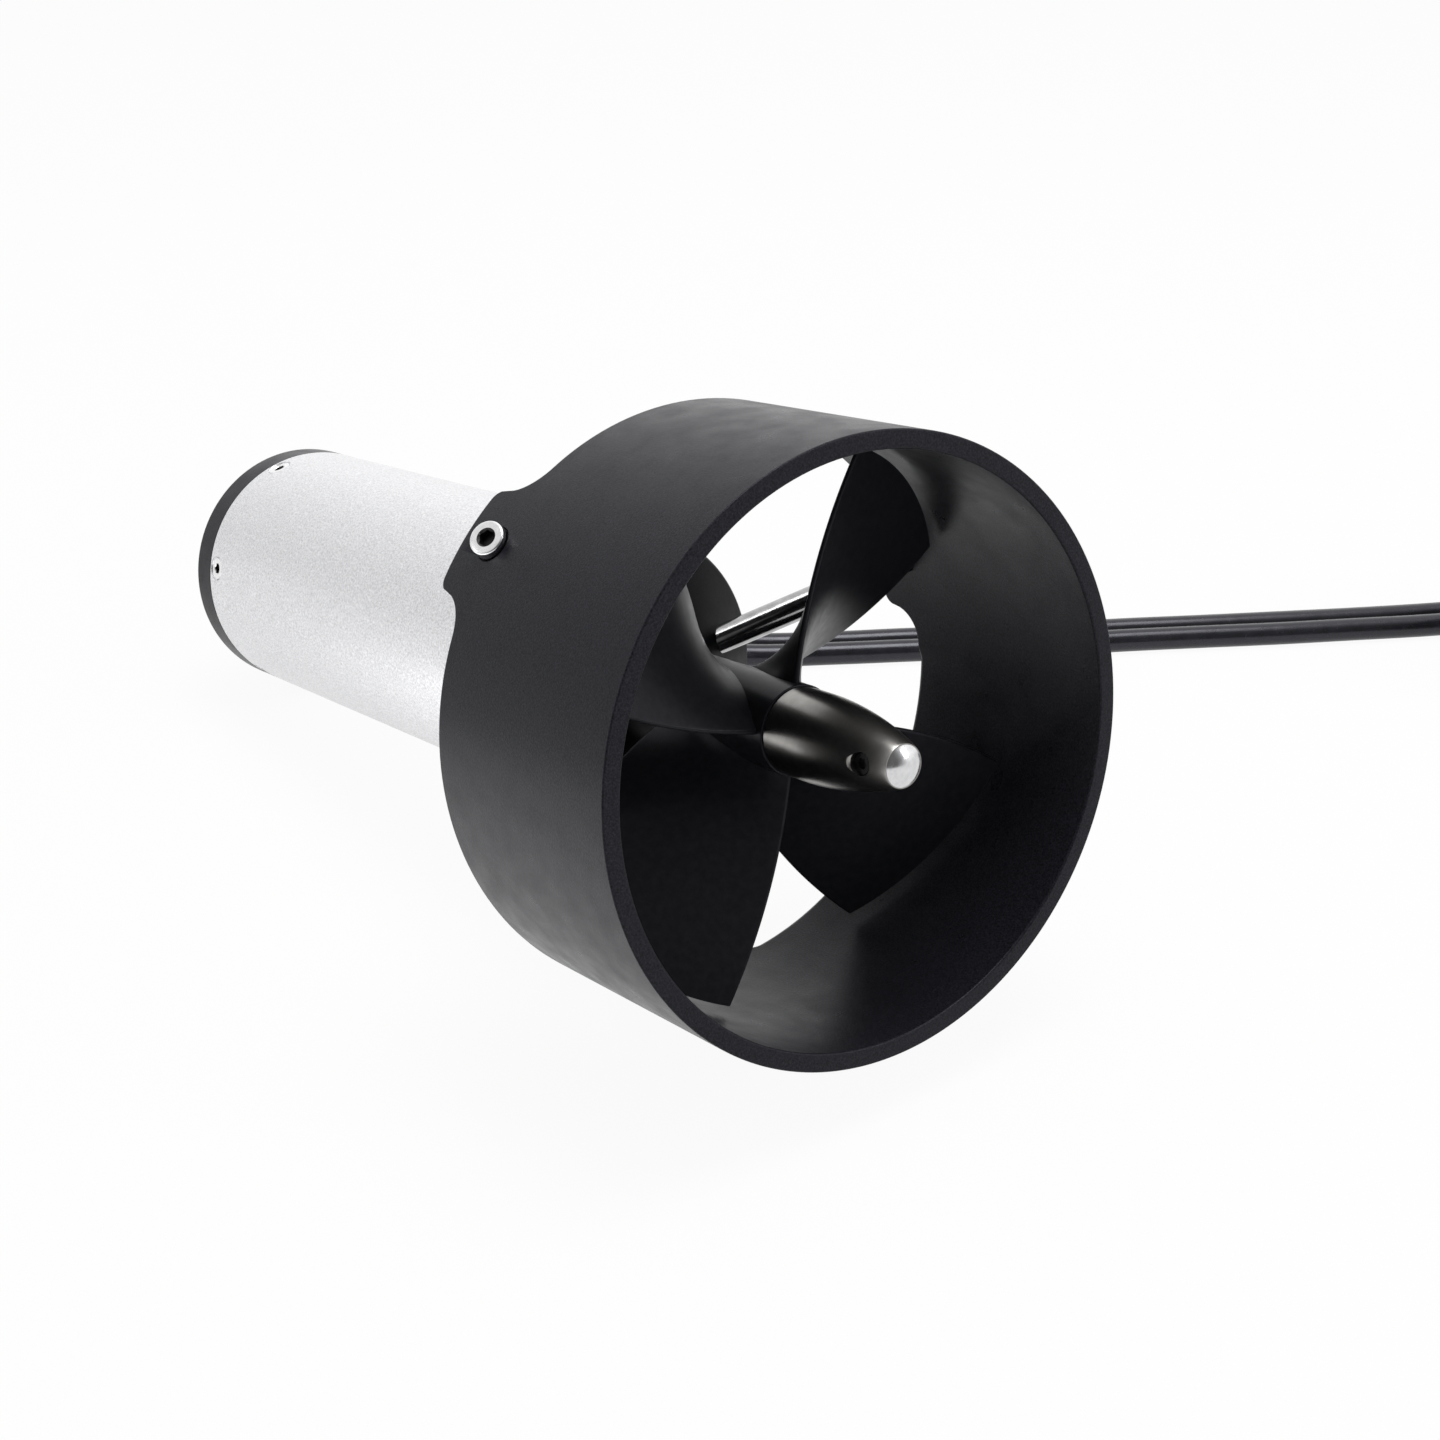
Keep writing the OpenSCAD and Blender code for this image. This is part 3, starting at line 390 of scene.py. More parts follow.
def rear_edge(y):
    """Station of the duct's rear edge at a distance across from the middle of a tab."""
    y = abs(y)
    if y <= TAB_CORNER_AT[1]:
        return -(DUCT_LEN + TAB_LEN)
    if y <= TAB_MEET_Y:
        return TAB_CORNER_AT[0] - math.sqrt(TAB_CORNER**2 - (y - TAB_CORNER_AT[1]) ** 2)
    if y < HOLLOW_Y:
        return HOLLOW_X + math.sqrt(TAB_FILLET**2 - (HOLLOW_Y - y) ** 2)
    return -DUCT_LEN


def strut_frame(degrees):
    """Frame at a strut's screw: +Y runs out along the strut."""
    return (Matrix.Rotation(math.radians(degrees), 4, "X") @ Matrix.Translation((SCREW_STATION, SCREW_R, 0))
            @ Matrix.Rotation(-STRUT_SLANT, 4, "Z"))


def corner_round(radius):
    """Four steps of a quarter round, as distances in from an edge's two faces."""
    return [(radius * (1 - math.sin(t)), radius * (1 - math.cos(t))) for t in np.linspace(0, math.pi / 2, 4)]


def wall_inside(station):
    """Bore radius, which narrows a little towards the open rim."""
    return DUCT_BORE_R + (RIM_BORE_R - DUCT_BORE_R) * max(0, 1 + station / DUCT_LEN)


def duct_section(off):
    """Closed outline of the wall at an angle off the middle of the nearest tab."""
    across = DUCT_BORE_R * math.sin(math.radians(off))
    outer = rear_edge(DUCT_R * math.sin(math.radians(off)))
    inner = rear_edge(across)
    inlet = REAR_BREAK + (INLET_BREAK - REAR_BREAK) * smooth((abs(across) - HOLLOW_Y) / INLET_FADE)
    front, lip, rear, bevel = (corner_round(r) for r in (FRONT_BREAK, LIP_BREAK, REAR_BREAK, inlet))
    outline = [(-x, DUCT_R - d) for x, d in front[::-1]]
    outline += [(x, DUCT_R) for x in np.linspace(-FRONT_BREAK, outer + REAR_BREAK, WALL_ROWS)[1:-1]]
    outline += [(outer + x, DUCT_R - d) for x, d in rear]
    outline += [(inner + x, DUCT_BORE_R + d) for x, d in bevel[::-1]]
    outline += [(x, wall_inside(x)) for x in np.linspace(inner + inlet, -LIP_BREAK, WALL_ROWS)[1:-1]]
    outline += [(-x, RIM_BORE_R + d) for x, d in lip]
    return outline


offsets = [*np.arange(-TAB_REACH, TAB_REACH, FINE_STEP), *np.arange(TAB_REACH, TAB_PITCH - TAB_REACH, WIDE_STEP)]
rings, duct_cuts = [], []
for middle in STRUT_ANGLES:
    for off in offsets:
        near = off if off < TAB_PITCH / 2 else off - TAB_PITCH
        rings.append([polar(x, r, middle + off) for x, r in duct_section(near)])
    place = strut_frame(middle)
    duct_cuts.append(drill("screw_hole", place, -SCREW_HOLE_REACH, SCREW_HOLE_REACH, M4_HOLE_D))
    duct_cuts.append(drill("spotface", place, SPOTFACE_FLOOR, SPOTFACE_TOP, SPOTFACE_D))
duct = combined(closed_mesh("duct_shell", rings), duct_cuts, "DIFFERENCE")
mesh_object("duct_shell", duct, "duct", duct_black.material)

# Screws: turned heads with eased edges and a hex socket painted dark as shade

SCREW_SEGMENTS = 96


def socket_screws(name, node, frames, outline, key, key_depth, mouth):
    """Screws with their outline along +Y of each frame, and a hex socket of that size across flats."""
    top = outline[-1][0]
    whole = bmesh.new()
    for place in frames:
        body = lathe("screw", eased(outline), SCREW_SEGMENTS)
        body.transform(Matrix.Rotation(math.pi / 2, 4, "Z"))
        corners = key / math.cos(math.pi / 6)
        cuts = [drill("socket", Matrix(), top - key_depth, top + OVER, corners, sides=6),
                countersink("socket_mouth", Matrix(), top, mouth)]
        screw = combined(body, cuts, "DIFFERENCE")
        # Faces inside the hex socket take the near-black steel, as painted shade in that recess
        for face in screw.polygons:
            x, y, z = face.center
            if math.hypot(x, z) < mouth / 2 - 0.1 and top - key_depth - 0.1 < y < top - 0.05:
                face.material_index = 1
        screw.transform(place)
        whole.from_mesh(screw)
    mesh = bpy.data.meshes.new(name)
    whole.to_mesh(mesh)
    whole.free()
    mesh_object(name, mesh, node, stainless.material)
    mesh.materials.append(recess_painted_shade.material)


SCREW_SEAT, SCREW_REACH, HEAD_R, HEAD_H, SHANK_R = SPOTFACE_FLOOR + CLEARANCE, 11.0, 3.5, 4.0, 2.0
HEX_KEY, HEX_DEPTH, HEX_MOUTH = 3.0, HEAD_H / 2, 3.9
screw_line = [(-SCREW_REACH, 0), (-SCREW_REACH, SHANK_R, 0.3), (SCREW_SEAT, SHANK_R), (SCREW_SEAT, HEAD_R, 0.15),
              (SCREW_SEAT + HEAD_H, HEAD_R, 0.45), (SCREW_SEAT + HEAD_H, 0)]
socket_screws("duct_screw_forms", "duct_screws", [strut_frame(a) for a in STRUT_ANGLES], screw_line,
              HEX_KEY, HEX_DEPTH, HEX_MOUTH)

TUBE_BORE_R, CAP_SCREW_SINK, CAP_SCREW_INSET, CAP_SCREW_LEN = 27.0, 0.2, 3.6, 8.0
CAP_HEAD_R, CAP_HEAD_SIDE, CAP_HEAD_H, CAP_SHANK_R, CAP_SEAT_D = 2.65, 0.4, 1.7, 1.5, 6.1
CAP_KEY, CAP_KEY_DEPTH, CAP_KEY_MOUTH = 2.4, 1.3, 2.9
CAP_HOLE_DEPTH, CAP_HOLE_PLAY, CAP_ROW, CAP_ROW_CLOCK = 5, 0.1, 6, 30
cap_screw_line = [(-CAP_SCREW_LEN, 0), (-CAP_SCREW_LEN, CAP_SHANK_R, 0.2), (-CAP_HEAD_H, CAP_SHANK_R),
                  (-CAP_HEAD_SIDE, CAP_HEAD_R), (0, CAP_HEAD_R, 0.12), (0, 0)]
tube_cuts = []
for node, station in (("front_cap_screws", TUBE_FRONT - CAP_SCREW_INSET),
                      ("rear_cap_screws", TUBE_REAR + CAP_SCREW_INSET)):
    places = [Matrix.Rotation(math.radians(STRUT_ANGLES[0] + CAP_ROW_CLOCK + 360 / CAP_ROW * k), 4, "X")
              @ Matrix.Translation((station, TUBE_R - CAP_SCREW_SINK, 0)) for k in range(CAP_ROW)]
    socket_screws(node[:-1] + "_forms", node, places, cap_screw_line, CAP_KEY, CAP_KEY_DEPTH, CAP_KEY_MOUTH)
    for place in places:
        tube_cuts.append(drill("cap_screw_hole", place, -CAP_HOLE_DEPTH, 2 * OVER, 2 * CAP_SHANK_R + CAP_HOLE_PLAY))
        tube_cuts.append(drill("cap_screw_sink", place, -CAP_HEAD_H - CLEARANCE, 0, 2 * CAP_SHANK_R, CAP_SEAT_D))
        tube_cuts.append(drill("cap_screw_seat", place, -CLEARANCE, 2 * OVER, CAP_SEAT_D))

# Motor tube: turned, with eased ends and the countersunk holes of its screws

TUBE_SEGMENTS, TUBE_EDGE, TUBE_BORE_EDGE = 240, 0.35, 0.2
tube_line = [(TUBE_REAR, TUBE_BORE_R, TUBE_BORE_EDGE), (TUBE_REAR, TUBE_R, TUBE_EDGE),
             (TUBE_FRONT, TUBE_R, TUBE_EDGE), (TUBE_FRONT, TUBE_BORE_R, TUBE_BORE_EDGE)]
tube = combined(lathe("motor_tube_form", eased(tube_line), TUBE_SEGMENTS), tube_cuts, "DIFFERENCE")
mesh_object("motor_tube_form", tube, "motor_tube", tube_silver.material)

# Propeller: helicoid blades with round edges, joined to a bored hub

HUB_BORE_R, HUB_SEAM, PIN_SLOT, PIN_SLOT_DEPTH = 4.05, SPINNER_SEAM - CLEARANCE, 3.1, 3.75
BLADE_SINK, ROOT_T, TIP_T, EDGE_T, EDGE_R = 2.5, 4.2, 1.8, 0.9, 0.45
ROOT_FLARE, ROOT_FLARE_REACH = 3.6, 2.4
TAPER_POWER, SECTION_POWER = 0.8, 2.4
BLADES, BLADE_ROWS, ROW_CROWDING = 4, 44, 1.35
EDGE_COLUMNS, INNER_COLUMNS = [0, 0.003, 0.008, 0.016, 0.026], np.linspace(-0.94, 0.94, 33)
RISE_PER_RADIAN = math.degrees(PROP_RISE)


def blade_rear(r):
    """Degrees from a blade's middle back to its rear edge."""
    return BLADE_REAR_TIP + (BLADE_REAR_ROOT - BLADE_REAR_TIP) * (PROP_R - r) / (PROP_R - HUB_R)


def blade_thickness(r, u):
    """Thickness at a radius and a place across the blade, from -1 at its rear edge to 1 at its front edge."""
    out = max(r - HUB_R, 0)
    taper = (TIP_T - ROOT_T) * (out / (PROP_R - HUB_R)) ** TAPER_POWER
    full = ROOT_T + taper + ROOT_FLARE * math.exp(-out / ROOT_FLARE_REACH)
    t = EDGE_T + (full - EDGE_T) * (1 - abs(u) ** SECTION_POWER)
    to_edge = (1 - abs(u)) * math.radians((BLADE_FRONT + blade_rear(r)) / 2) * math.hypot(r, RISE_PER_RADIAN)
    return t * math.sqrt(max(0, 1 - max(0, 1 - to_edge / EDGE_R) ** 2))


def blade_point(r, u, side, clock):
    """Point of a blade's skin, on the side given as 1 or -1."""
    lean = math.hypot(r, RISE_PER_RADIAN)
    half = side * blade_thickness(r, u) / 2
    middle = BLADE_SKEW * (0.5 - (r - HUB_R) / (PROP_R - HUB_R))
    off = (BLADE_FRONT - blade_rear(r) + u * (BLADE_FRONT + blade_rear(r))) / 2
    turn = clock + middle + off - math.degrees(half * RISE_PER_RADIAN / lean / r)
    return polar(BLADE_STATION + PROP_RISE * off + half * r / lean, r, turn)


def blade(clock):
    """Closed skin of one blade, capped by strips at its root and tip."""
    across = [-1 + e for e in EDGE_COLUMNS] + list(INNER_COLUMNS) + [1 - e for e in EDGE_COLUMNS[::-1]]
    last = len(across) - 1
    loop = [(u, 1) for u in across] + [(u, -1) for u in across[last - 1:0:-1]]
    foot = HUB_R - BLADE_SINK
    radii = [foot + (PROP_R - foot) * (k / BLADE_ROWS) ** ROW_CROWDING for k in range(BLADE_ROWS + 1)]
    bm = bmesh.new()
    rows = [[bm.verts.new(blade_point(r, u, side, clock)) for u, side in loop] for r in radii]
    count = len(loop)
    for a, b in zip(rows, rows[1:]):
        for k in range(count):
            bm.faces.new((a[k], a[(k + 1) % count], b[(k + 1) % count], b[k]))
    for row in (rows[0], rows[-1]):
        for k in range(last):
            strip = [row[k], row[k + 1], row[(count - k - 1) % count], row[(count - k) % count]]
            bm.faces.new(list(dict.fromkeys(strip)))
    return finished(bm, "blade")


hub_line = [(HUB_REAR, HUB_BORE_R), (HUB_REAR, HUB_R, 0.5), (HUB_SEAM, HUB_R, 0.25), (HUB_SEAM, HUB_BORE_R)]
slot_corners = [(y * PIN_SLOT / 2, z * (HUB_R + OVER)) for y, z in ((-1, -1), (1, -1), (1, 1), (-1, 1))]
slot_rings = [[(x, y, z) for y, z in slot_corners] for x in (HUB_REAR - OVER, HUB_REAR + PIN_SLOT_DEPTH)]
blades = [blade(BLADE_CLOCK + 360 / BLADES * k) for k in range(BLADES)]
propeller = combined(lathe("propeller_form", eased(hub_line)), blades, "UNION")
propeller = combined(propeller, [closed_mesh("pin_slot", slot_rings, wrap=False)], "DIFFERENCE")
mesh_object("propeller_form", propeller, "propeller", blade_black.material)

# Spinner, shaft and front cap: smooth turned forms

SPINNER_R, SPINNER_MOUTH_R, SPINNER_STRAIGHT = 8.7, 4.2, 6.5
OGIVE_FROM, OGIVE_FULLNESS, OGIVE_END, OGIVE_STEPS = SPINNER_SEAM + SPINNER_STRAIGHT, 1.8, 0.9, 40
GRUB_STATION, GRUB_CLOCK, GRUB_D, GRUB_MOUTH_R = SPINNER_TIP - 5.4, 171.5, 4.4, 6.2
ogive = []
for t in np.sin(np.linspace(0, math.pi / 2, OGIVE_STEPS)):
    r = SPINNER_MOUTH_R + (SPINNER_R - SPINNER_MOUTH_R) * (1 - t**OGIVE_FULLNESS) ** OGIVE_END
    ogive.append((OGIVE_FROM + (SPINNER_TIP - OGIVE_FROM) * t, r))
spinner_line = [(SPINNER_SEAM, HUB_BORE_R), (SPINNER_SEAM, SPINNER_R, 0.4), *ogive, (SPINNER_TIP, HUB_BORE_R)]
grub_frame = Matrix.Rotation(math.radians(GRUB_CLOCK), 4, "X") @ Matrix.Translation((GRUB_STATION, 0, 0))
grub_cuts = [drill("grub_hole", grub_frame, SHAFT_R - OVER, HUB_R + OVER, GRUB_D),
             countersink("grub_mouth", grub_frame, GRUB_MOUTH_R, GRUB_D, 2 * OVER)]
nose = combined(lathe("spinner_form", eased(spinner_line)), grub_cuts, "DIFFERENCE")
# The grub hole's wall takes the near-black steel, as painted shade in the hole
for face in nose.polygons:
    x, y, z = grub_frame.inverted() @ face.center
    if math.hypot(x, z) < GRUB_D / 2 + CLEARANCE and y > SHAFT_R + 0.1:
        face.material_index = 1
mesh_object("spinner_form", nose, "spinner_nut", spinner_black.material)
nose.materials.append(recess_painted_shade.material)

DOME_R, DOME_STEPS = (SHAFT_R**2 + SHAFT_DOME**2) / (2 * SHAFT_DOME), 24
SHAFT_END, ROTOR_REAR = SPIGOT_REAR_END - BEARING_W, SPIGOT_REAR_END + CLEARANCE
ROTOR_FRONT = SPIGOT_FRONT_END + BEARING_W - CLEARANCE
dome = [(SHAFT_TIP - DOME_R * (1 - math.cos(t)), DOME_R * math.sin(t))
        for t in np.linspace(math.asin(SHAFT_R / DOME_R), 0, DOME_STEPS)[:-1]]
shaft_line = [(SHAFT_END, 0), (SHAFT_END, SHAFT_R), (ROTOR_REAR, SHAFT_R), (ROTOR_REAR, ROTOR_SHAFT_R),
              (ROTOR_FRONT, ROTOR_SHAFT_R), (ROTOR_FRONT, SHAFT_R), *dome, (SHAFT_TIP, 0)]
mesh_object("shaft_form", lathe("shaft_form", shaft_line), "shaft", dome_steel.material)

SPIGOT_R, GROOVE_R, BEARING_R, SEAL_R, SHAFT_HOLE_R, RELIEF_R = 26.95, 24.95, 13.02, 7.02, 4.5, 9.0
GROOVE_REAR, GROOVE_FRONT = TUBE_FRONT - 10.8, TUBE_FRONT - 8.2
SEAL_END, POCKET_END = NECK_FRONT - 10, SPIGOT_FRONT_END + BEARING_W
RELIEF_END = POCKET_END + 0.5
CIRCLIP_R, CIRCLIP_FRONT, CIRCLIP_REAR = SEAL_R + 0.8, NECK_FRONT - 1, NECK_FRONT - 2
cap_line = [(SPIGOT_FRONT_END, BEARING_R), (SPIGOT_FRONT_END, SPIGOT_R), (GROOVE_REAR, SPIGOT_R),
            (GROOVE_REAR, GROOVE_R), (GROOVE_FRONT, GROOVE_R), (GROOVE_FRONT, SPIGOT_R), (TUBE_FRONT, SPIGOT_R),
            (TUBE_FRONT, TUBE_R, 0.3), (SHOULDER - 0.4, TUBE_R, 2.4), (-67, 11.6, 8), (-62, NECK_R, 8),
            (NECK_FRONT, NECK_R, 0.5), (NECK_FRONT, SEAL_R), (CIRCLIP_FRONT, SEAL_R), (CIRCLIP_FRONT, CIRCLIP_R),
            (CIRCLIP_REAR, CIRCLIP_R), (CIRCLIP_REAR, SEAL_R), (SEAL_END, SEAL_R), (SEAL_END, SHAFT_HOLE_R),
            (RELIEF_END, SHAFT_HOLE_R), (RELIEF_END, RELIEF_R), (POCKET_END, RELIEF_R), (POCKET_END, BEARING_R)]
front_cap = lathe("front_cap_form", eased(cap_line, steps=8))
mesh_object("front_cap_form", front_cap, "front_cap", cap_black_painted_shade.material)

# Camera, from the outlines of the duct and the tube

CAMERA_AT = Vector((0.398486, -0.247920, 0.273835))
CAMERA_RIGHT = Vector((0.59520, 0.80358, 0.0))
CAMERA_UP = Vector((-0.36848, 0.27293, 0.88867))
CAMERA_AHEAD = Vector((-0.71411, 0.52894, -0.45855))
SENSOR, FOCAL_PIXELS, IMAGE_PIXELS = 36.0, 2349, 1440

camera = bpy.data.objects.new("camera", bpy.data.cameras.new("camera"))
scene.collection.objects.link(camera)
camera.data.sensor_width = SENSOR
camera.data.lens = SENSOR * FOCAL_PIXELS / IMAGE_PIXELS
camera.data.clip_start, camera.data.clip_end = 0.01, 20
facing = Matrix((CAMERA_RIGHT, CAMERA_UP, -CAMERA_AHEAD)).transposed().to_4x4()
camera.matrix_world = Matrix.Translation(CAMERA_AT) @ facing
scene.camera = camera

# Leads: the routes of the solids, then three turns of the stored coil, and the ends in their sleeves

LEAD_EXITS = [(-134.002, 15.0101, 18.3313), (-136.862, 15.0101, 34.0352)]
LEAD_STARTS = [(-146.202, 15.0101, 16.1102), (-149.061, 15.0101, 31.8141)]
ROUTES = [
    [(-161, 18, 13), (-171, 26, 9), (-176, 38, 5.5), (-173, 50, 3.6), (-164, 60, 3.1), (-148, 66, 3.1),
     (-130, 69, 3.1), (-110, 71, 3.1), (-90, 73, 3.1), (-72, 77, 3.1), (-58, 84, 3.1), (-48, 93.5, 3.1),
     (-36, 112, 3.1), (-25.8, 128.8, 3.1), (-15.4, 145.6, 3.1), (-5.1, 163.3, 3.1), (5.2, 181.6, 3.1),
     (15.4, 198.9, 3.1), (25.7, 216.2, 3.1), (36, 234.5, 3.1), (46.3, 252.8, 3.1), (56.3, 271.3, 3.5)],
    [(-163, 18, 27), (-175, 26, 21), (-183, 38, 14), (-182, 51, 8), (-174, 62, 4.5), (-160, 70, 3.1),
     (-141, 74.5, 3.1), (-121, 76.5, 3.1), (-101, 78.5, 3.1), (-82, 81.5, 3.1), (-66, 88, 3.1),
     (-54, 97.5, 3.1), (-42, 115, 3.1), (-31.8, 132.3, 3.1), (-21.5, 148.6, 3.1), (-11.2, 166.4, 3.1),
     (-0.9, 184.7, 3.1), (9.4, 202, 3.1), (19.7, 219.7, 3.1), (30, 237.5, 3.1), (40.3, 256.3, 3.1),
     (50.3, 274.3, 3.5)],
]
COIL_CENTRE, COIL_R, COIL_BASE = (90.2, 274.4), 32.0, 3.9
COIL_TURNS, COIL_LEVEL, COIL_TOP, COIL_STEP = 3, 6.82, 24.56, 6
COLUMN_OFFSET = 3.2
ENTRY_ANGLE, RAMP_FROM, RAMP_TO, LEAVE_ANGLE = 150.8, 262.0, 202.0, 168.0
SLEEVE_X, SLEEVE_Y, SLEEVE_SPREAD, LEAD_IN_SLEEVE = 73.7, 303.3, 3.92, 10.0
LEAD_POINT_STEP, SPAN_POINTS = 2.0, 24


def coil_points(r):
    """Clockwise turns at one radius, each on the level above the last one."""
    total = COIL_TURNS * 360 - (LEAVE_ANGLE - ENTRY_ANGLE)
    count = int(total / COIL_STEP)
    rises = [COIL_LEVEL] * (COIL_TURNS - 1)
    rises.append(COIL_TOP - COIL_BASE - sum(rises))
    out = []
    for k in range(count + 1):
        swept = total * k / count
        angle = math.radians(ENTRY_ANGLE - swept)
        z = COIL_BASE
        for turn, rise in enumerate(rises):
            begin = ENTRY_ANGLE + 360 - RAMP_FROM + 360 * turn
            z += rise * smooth((swept - begin) / (RAMP_FROM - RAMP_TO))
        out.append((COIL_CENTRE[0] + r * math.cos(angle), COIL_CENTRE[1] + r * math.sin(angle), z))
    return out


def through(points):
    """Even points on a smooth curve through the given ones."""
    p = np.array(points, float)
    p = np.vstack([2 * p[0] - p[1], p, 2 * p[-1] - p[-2]])
    fine = []
    for a, b, c, d in zip(p, p[1:], p[2:], p[3:]):
        ab, bc, cd = (max(np.linalg.norm(v) ** 0.5, 1e-9) for v in (b - a, c - b, d - c))
        m1 = (c - b) + bc * ((b - a) / ab - (c - a) / (ab + bc))
        m2 = (c - b) + bc * ((d - c) / cd - (d - b) / (bc + cd))
        for t in np.linspace(0, 1, SPAN_POINTS, endpoint=False):
            fine.append((2 * t**3 - 3 * t**2 + 1) * b + (t**3 - 2 * t**2 + t) * m1
                        + (3 * t**2 - 2 * t**3) * c + (t**3 - t**2) * m2)
    fine = np.array(fine + [p[-2]])
    along = np.concatenate([[0], np.cumsum(np.linalg.norm(np.diff(fine, axis=0), axis=1))])
    even = np.linspace(0, along[-1], int(along[-1] / LEAD_POINT_STEP) + 1)
    return np.stack([np.interp(even, along, fine[:, k]) for k in range(3)], axis=1)


for name, side, exit_at, start, route in zip("ab", (-1, 1), LEAD_EXITS, LEAD_STARTS, ROUTES):
    end_y = SLEEVE_Y + side * SLEEVE_SPREAD
    tail = [(SLEEVE_X, end_y, COIL_TOP), (SLEEVE_X + LEAD_IN_SLEEVE, end_y, COIL_TOP)]
    line = through([exit_at, start] + route + coil_points(COIL_R + side * COLUMN_OFFSET) + tail) * MM
    curve = bpy.data.curves.new("lead_" + name, "CURVE")
    curve.dimensions = "3D"
    curve.bevel_depth = LEAD_D / 2 * MM
    curve.bevel_resolution = 5
    curve.use_fill_caps = True
    spline = curve.splines.new("POLY")
    spline.points.add(len(line) - 1)
    spline.points.foreach_set("co", np.column_stack([line, np.ones(len(line))]).ravel())
    spline.use_smooth = True
    curve.materials.append(lead_rubber.material)
    lead = bpy.data.objects.new("lead_line_" + name, curve)
    scene.collection.objects.link(lead)
    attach(lead, "housing")
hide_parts("lead_a", "lead_coil")
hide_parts("lead_b")

# Studio: white floor and surround, one large soft light above and two fills

WHITE = (1, 1, 1, 1)
FLOOR_HALF, FLOOR_COLOUR, FLOOR_ROUGHNESS, FLOOR_WHITE_SHARE = 6.0, (0.85, 0.85, 0.85, 1), 0.9, 0.94
FLOOR_BRIGHT_AT, FLOOR_NEAR, FLOOR_FAR = (0, -0.2, 0), (0.09, 1.75), (0.19, 1.0)
WORLD_LIGHT, ROOM_DARK, ROOM_LEFT, ROOM_RIGHT = 0.35, 0.15, 0.78, 1.25
ROOM_DARK_WAY, ROOM_DARK_FROM, ROOM_DARK_TO, ROOM_SIDE = Vector((0.85, -0.45, 0.25)), 0.2, 0.88, 0.6


def add_node(tree, kind, inputs, **settings):
    """New node with its settings, and each input linked to a socket or set to a value."""
    node = tree.nodes.new(kind)
    for key, value in settings.items():
        setattr(node, key, value)
    for socket, value in inputs.items():
        if isinstance(value, bpy.types.NodeSocket):
            tree.links.new(value, node.inputs[socket])
        else:
            node.inputs[socket].default_value = value
    return node


def ray_share(tree, *kinds):
    """One for rays of the named kinds."""
    path = tree.nodes.new("ShaderNodeLightPath")
    total = path.outputs[kinds[0]]
    for kind in kinds[1:]:
        total = add_node(tree, "ShaderNodeMath", {0: total, 1: path.outputs[kind]}, operation="MAXIMUM").outputs[0]
    return total


# The floor is white to the camera, keeps the shadow, and is brighter in reflections close in front of the object
floor_mesh = bpy.data.meshes.new("floor")
corners = [(x * FLOOR_HALF, y * FLOOR_HALF, 0) for x, y in ((-1, -1), (1, -1), (1, 1), (-1, 1))]
floor_mesh.from_pydata(corners, [], [(0, 1, 2, 3)])
floor = bpy.data.objects.new("floor", floor_mesh)
scene.collection.objects.link(floor)
paper = bpy.data.materials.new("paper")
paper.use_nodes = True
tree = paper.node_tree
matt = tree.nodes["Principled BSDF"]
matt.inputs["Base Color"].default_value = FLOOR_COLOUR
matt.inputs["Roughness"].default_value = FLOOR_ROUGHNESS
lit = ray_share(tree, "Is Camera Ray", "Is Glossy Ray", "Is Transmission Ray")
share = add_node(tree, "ShaderNodeMath", {0: lit, 1: FLOOR_WHITE_SHARE}, operation="MULTIPLY")
position = tree.nodes.new("ShaderNodeNewGeometry").outputs["Position"]
away = add_node(tree, "ShaderNodeVectorMath", {0: position, 1: FLOOR_BRIGHT_AT}, operation="DISTANCE")
fade = add_node(tree, "ShaderNodeMapRange",
                {"Value": away.outputs["Value"], "From Min": FLOOR_NEAR[0], "To Min": FLOOR_NEAR[1],
                 "From Max": FLOOR_FAR[0], "To Max": FLOOR_FAR[1]}, interpolation_type="SMOOTHSTEP")
glow = add_node(tree, "ShaderNodeMix",
                {"Factor": ray_share(tree, "Is Camera Ray"), "A": fade.outputs["Result"], "B": 1.0})
white = add_node(tree, "ShaderNodeEmission", {"Strength": glow.outputs["Result"]})
both = add_node(tree, "ShaderNodeMixShader", {"Fac": share.outputs[0], 1: matt.outputs[0], 2: white.outputs[0]})
tree.links.new(both.outputs[0], tree.nodes["Material Output"].inputs["Surface"])
floor_mesh.materials.append(paper)

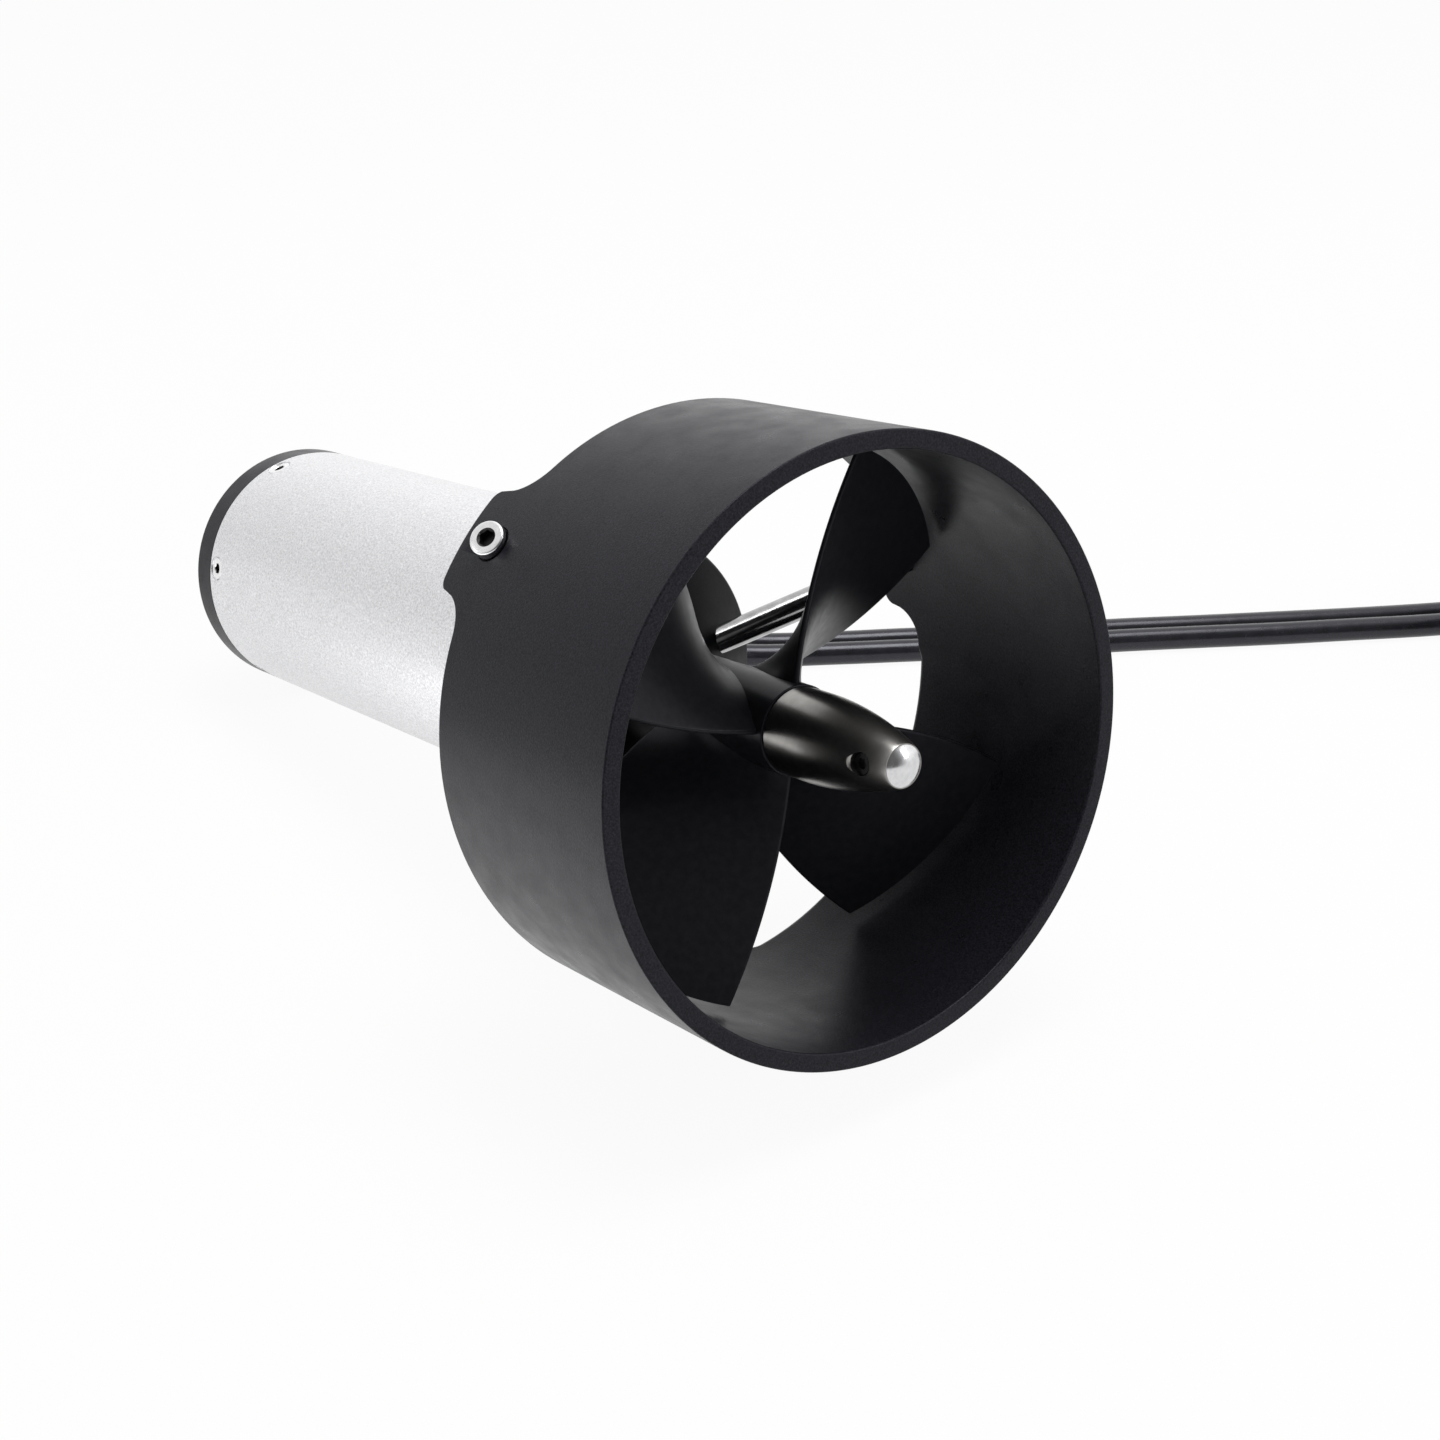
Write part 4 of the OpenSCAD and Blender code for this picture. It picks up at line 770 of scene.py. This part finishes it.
# The room is white all round; in reflections it is dark in front, and brighter on the right than on the left
world = bpy.data.worlds.new("studio")
world.use_nodes = True
scene.world = world
tree = world.node_tree
sky = tree.nodes["Background"]
sky.inputs["Color"].default_value = WHITE
sky.inputs["Strength"].default_value = WORLD_LIGHT
way = tree.nodes.new("ShaderNodeTexCoord").outputs["Generated"]
towards = add_node(tree, "ShaderNodeVectorMath", {0: way, 1: ROOM_DARK_WAY.normalized()}, operation="DOT_PRODUCT")
fall = add_node(tree, "ShaderNodeMapRange",
                {"Value": towards.outputs["Value"], "From Min": ROOM_DARK_FROM, "From Max": ROOM_DARK_TO,
                 "To Min": 1.0, "To Max": ROOM_DARK}, interpolation_type="SMOOTHSTEP")
sides = add_node(tree, "ShaderNodeSeparateXYZ", {0: way})
lean = add_node(tree, "ShaderNodeMapRange",
                {"Value": sides.outputs["Y"], "From Min": -ROOM_SIDE, "From Max": ROOM_SIDE,
                 "To Min": ROOM_LEFT, "To Max": ROOM_RIGHT})
product = add_node(tree, "ShaderNodeMath", {0: fall.outputs["Result"], 1: lean.outputs["Result"]},
                   operation="MULTIPLY")
mirrored = add_node(tree, "ShaderNodeBackground", {"Color": WHITE, "Strength": product.outputs[0]})
backdrop = add_node(tree, "ShaderNodeBackground", {"Color": WHITE, "Strength": 1.0})
seen = sky.outputs[0]
for share, background in ((ray_share(tree, "Is Glossy Ray", "Is Transmission Ray"), mirrored),
                          (ray_share(tree, "Is Camera Ray"), backdrop)):
    seen = add_node(tree, "ShaderNodeMixShader", {"Fac": share, 1: seen, 2: background.outputs[0]}).outputs[0]
tree.links.new(seen, tree.nodes["World Output"].inputs["Surface"])


def softbox(name, at, target, size, power):
    """Rectangular area light that faces a point, in metres and watts."""
    lamp = bpy.data.lights.new(name, "AREA")
    lamp.shape = "RECTANGLE"
    lamp.size, lamp.size_y = size
    lamp.energy = power
    box = bpy.data.objects.new(name, lamp)
    scene.collection.objects.link(box)
    box.location = at
    box.rotation_euler = (Vector(target) - Vector(at)).to_track_quat("-Z", "Y").to_euler()


softbox("overhead", (0.1, 0.15, 1.3), (0, 0, 0.05), (0.7, 0.7), 11)
softbox("left_fill", (-0.6, -1.2, 0.7), (0, 0, 0.05), (0.4, 0.7), 0.8)
softbox("right_fill", (1.2, 0.9, 0.7), (0.05, 0, 0.05), (0.35, 0.6), 4)

scene.view_settings.view_transform = "Standard"
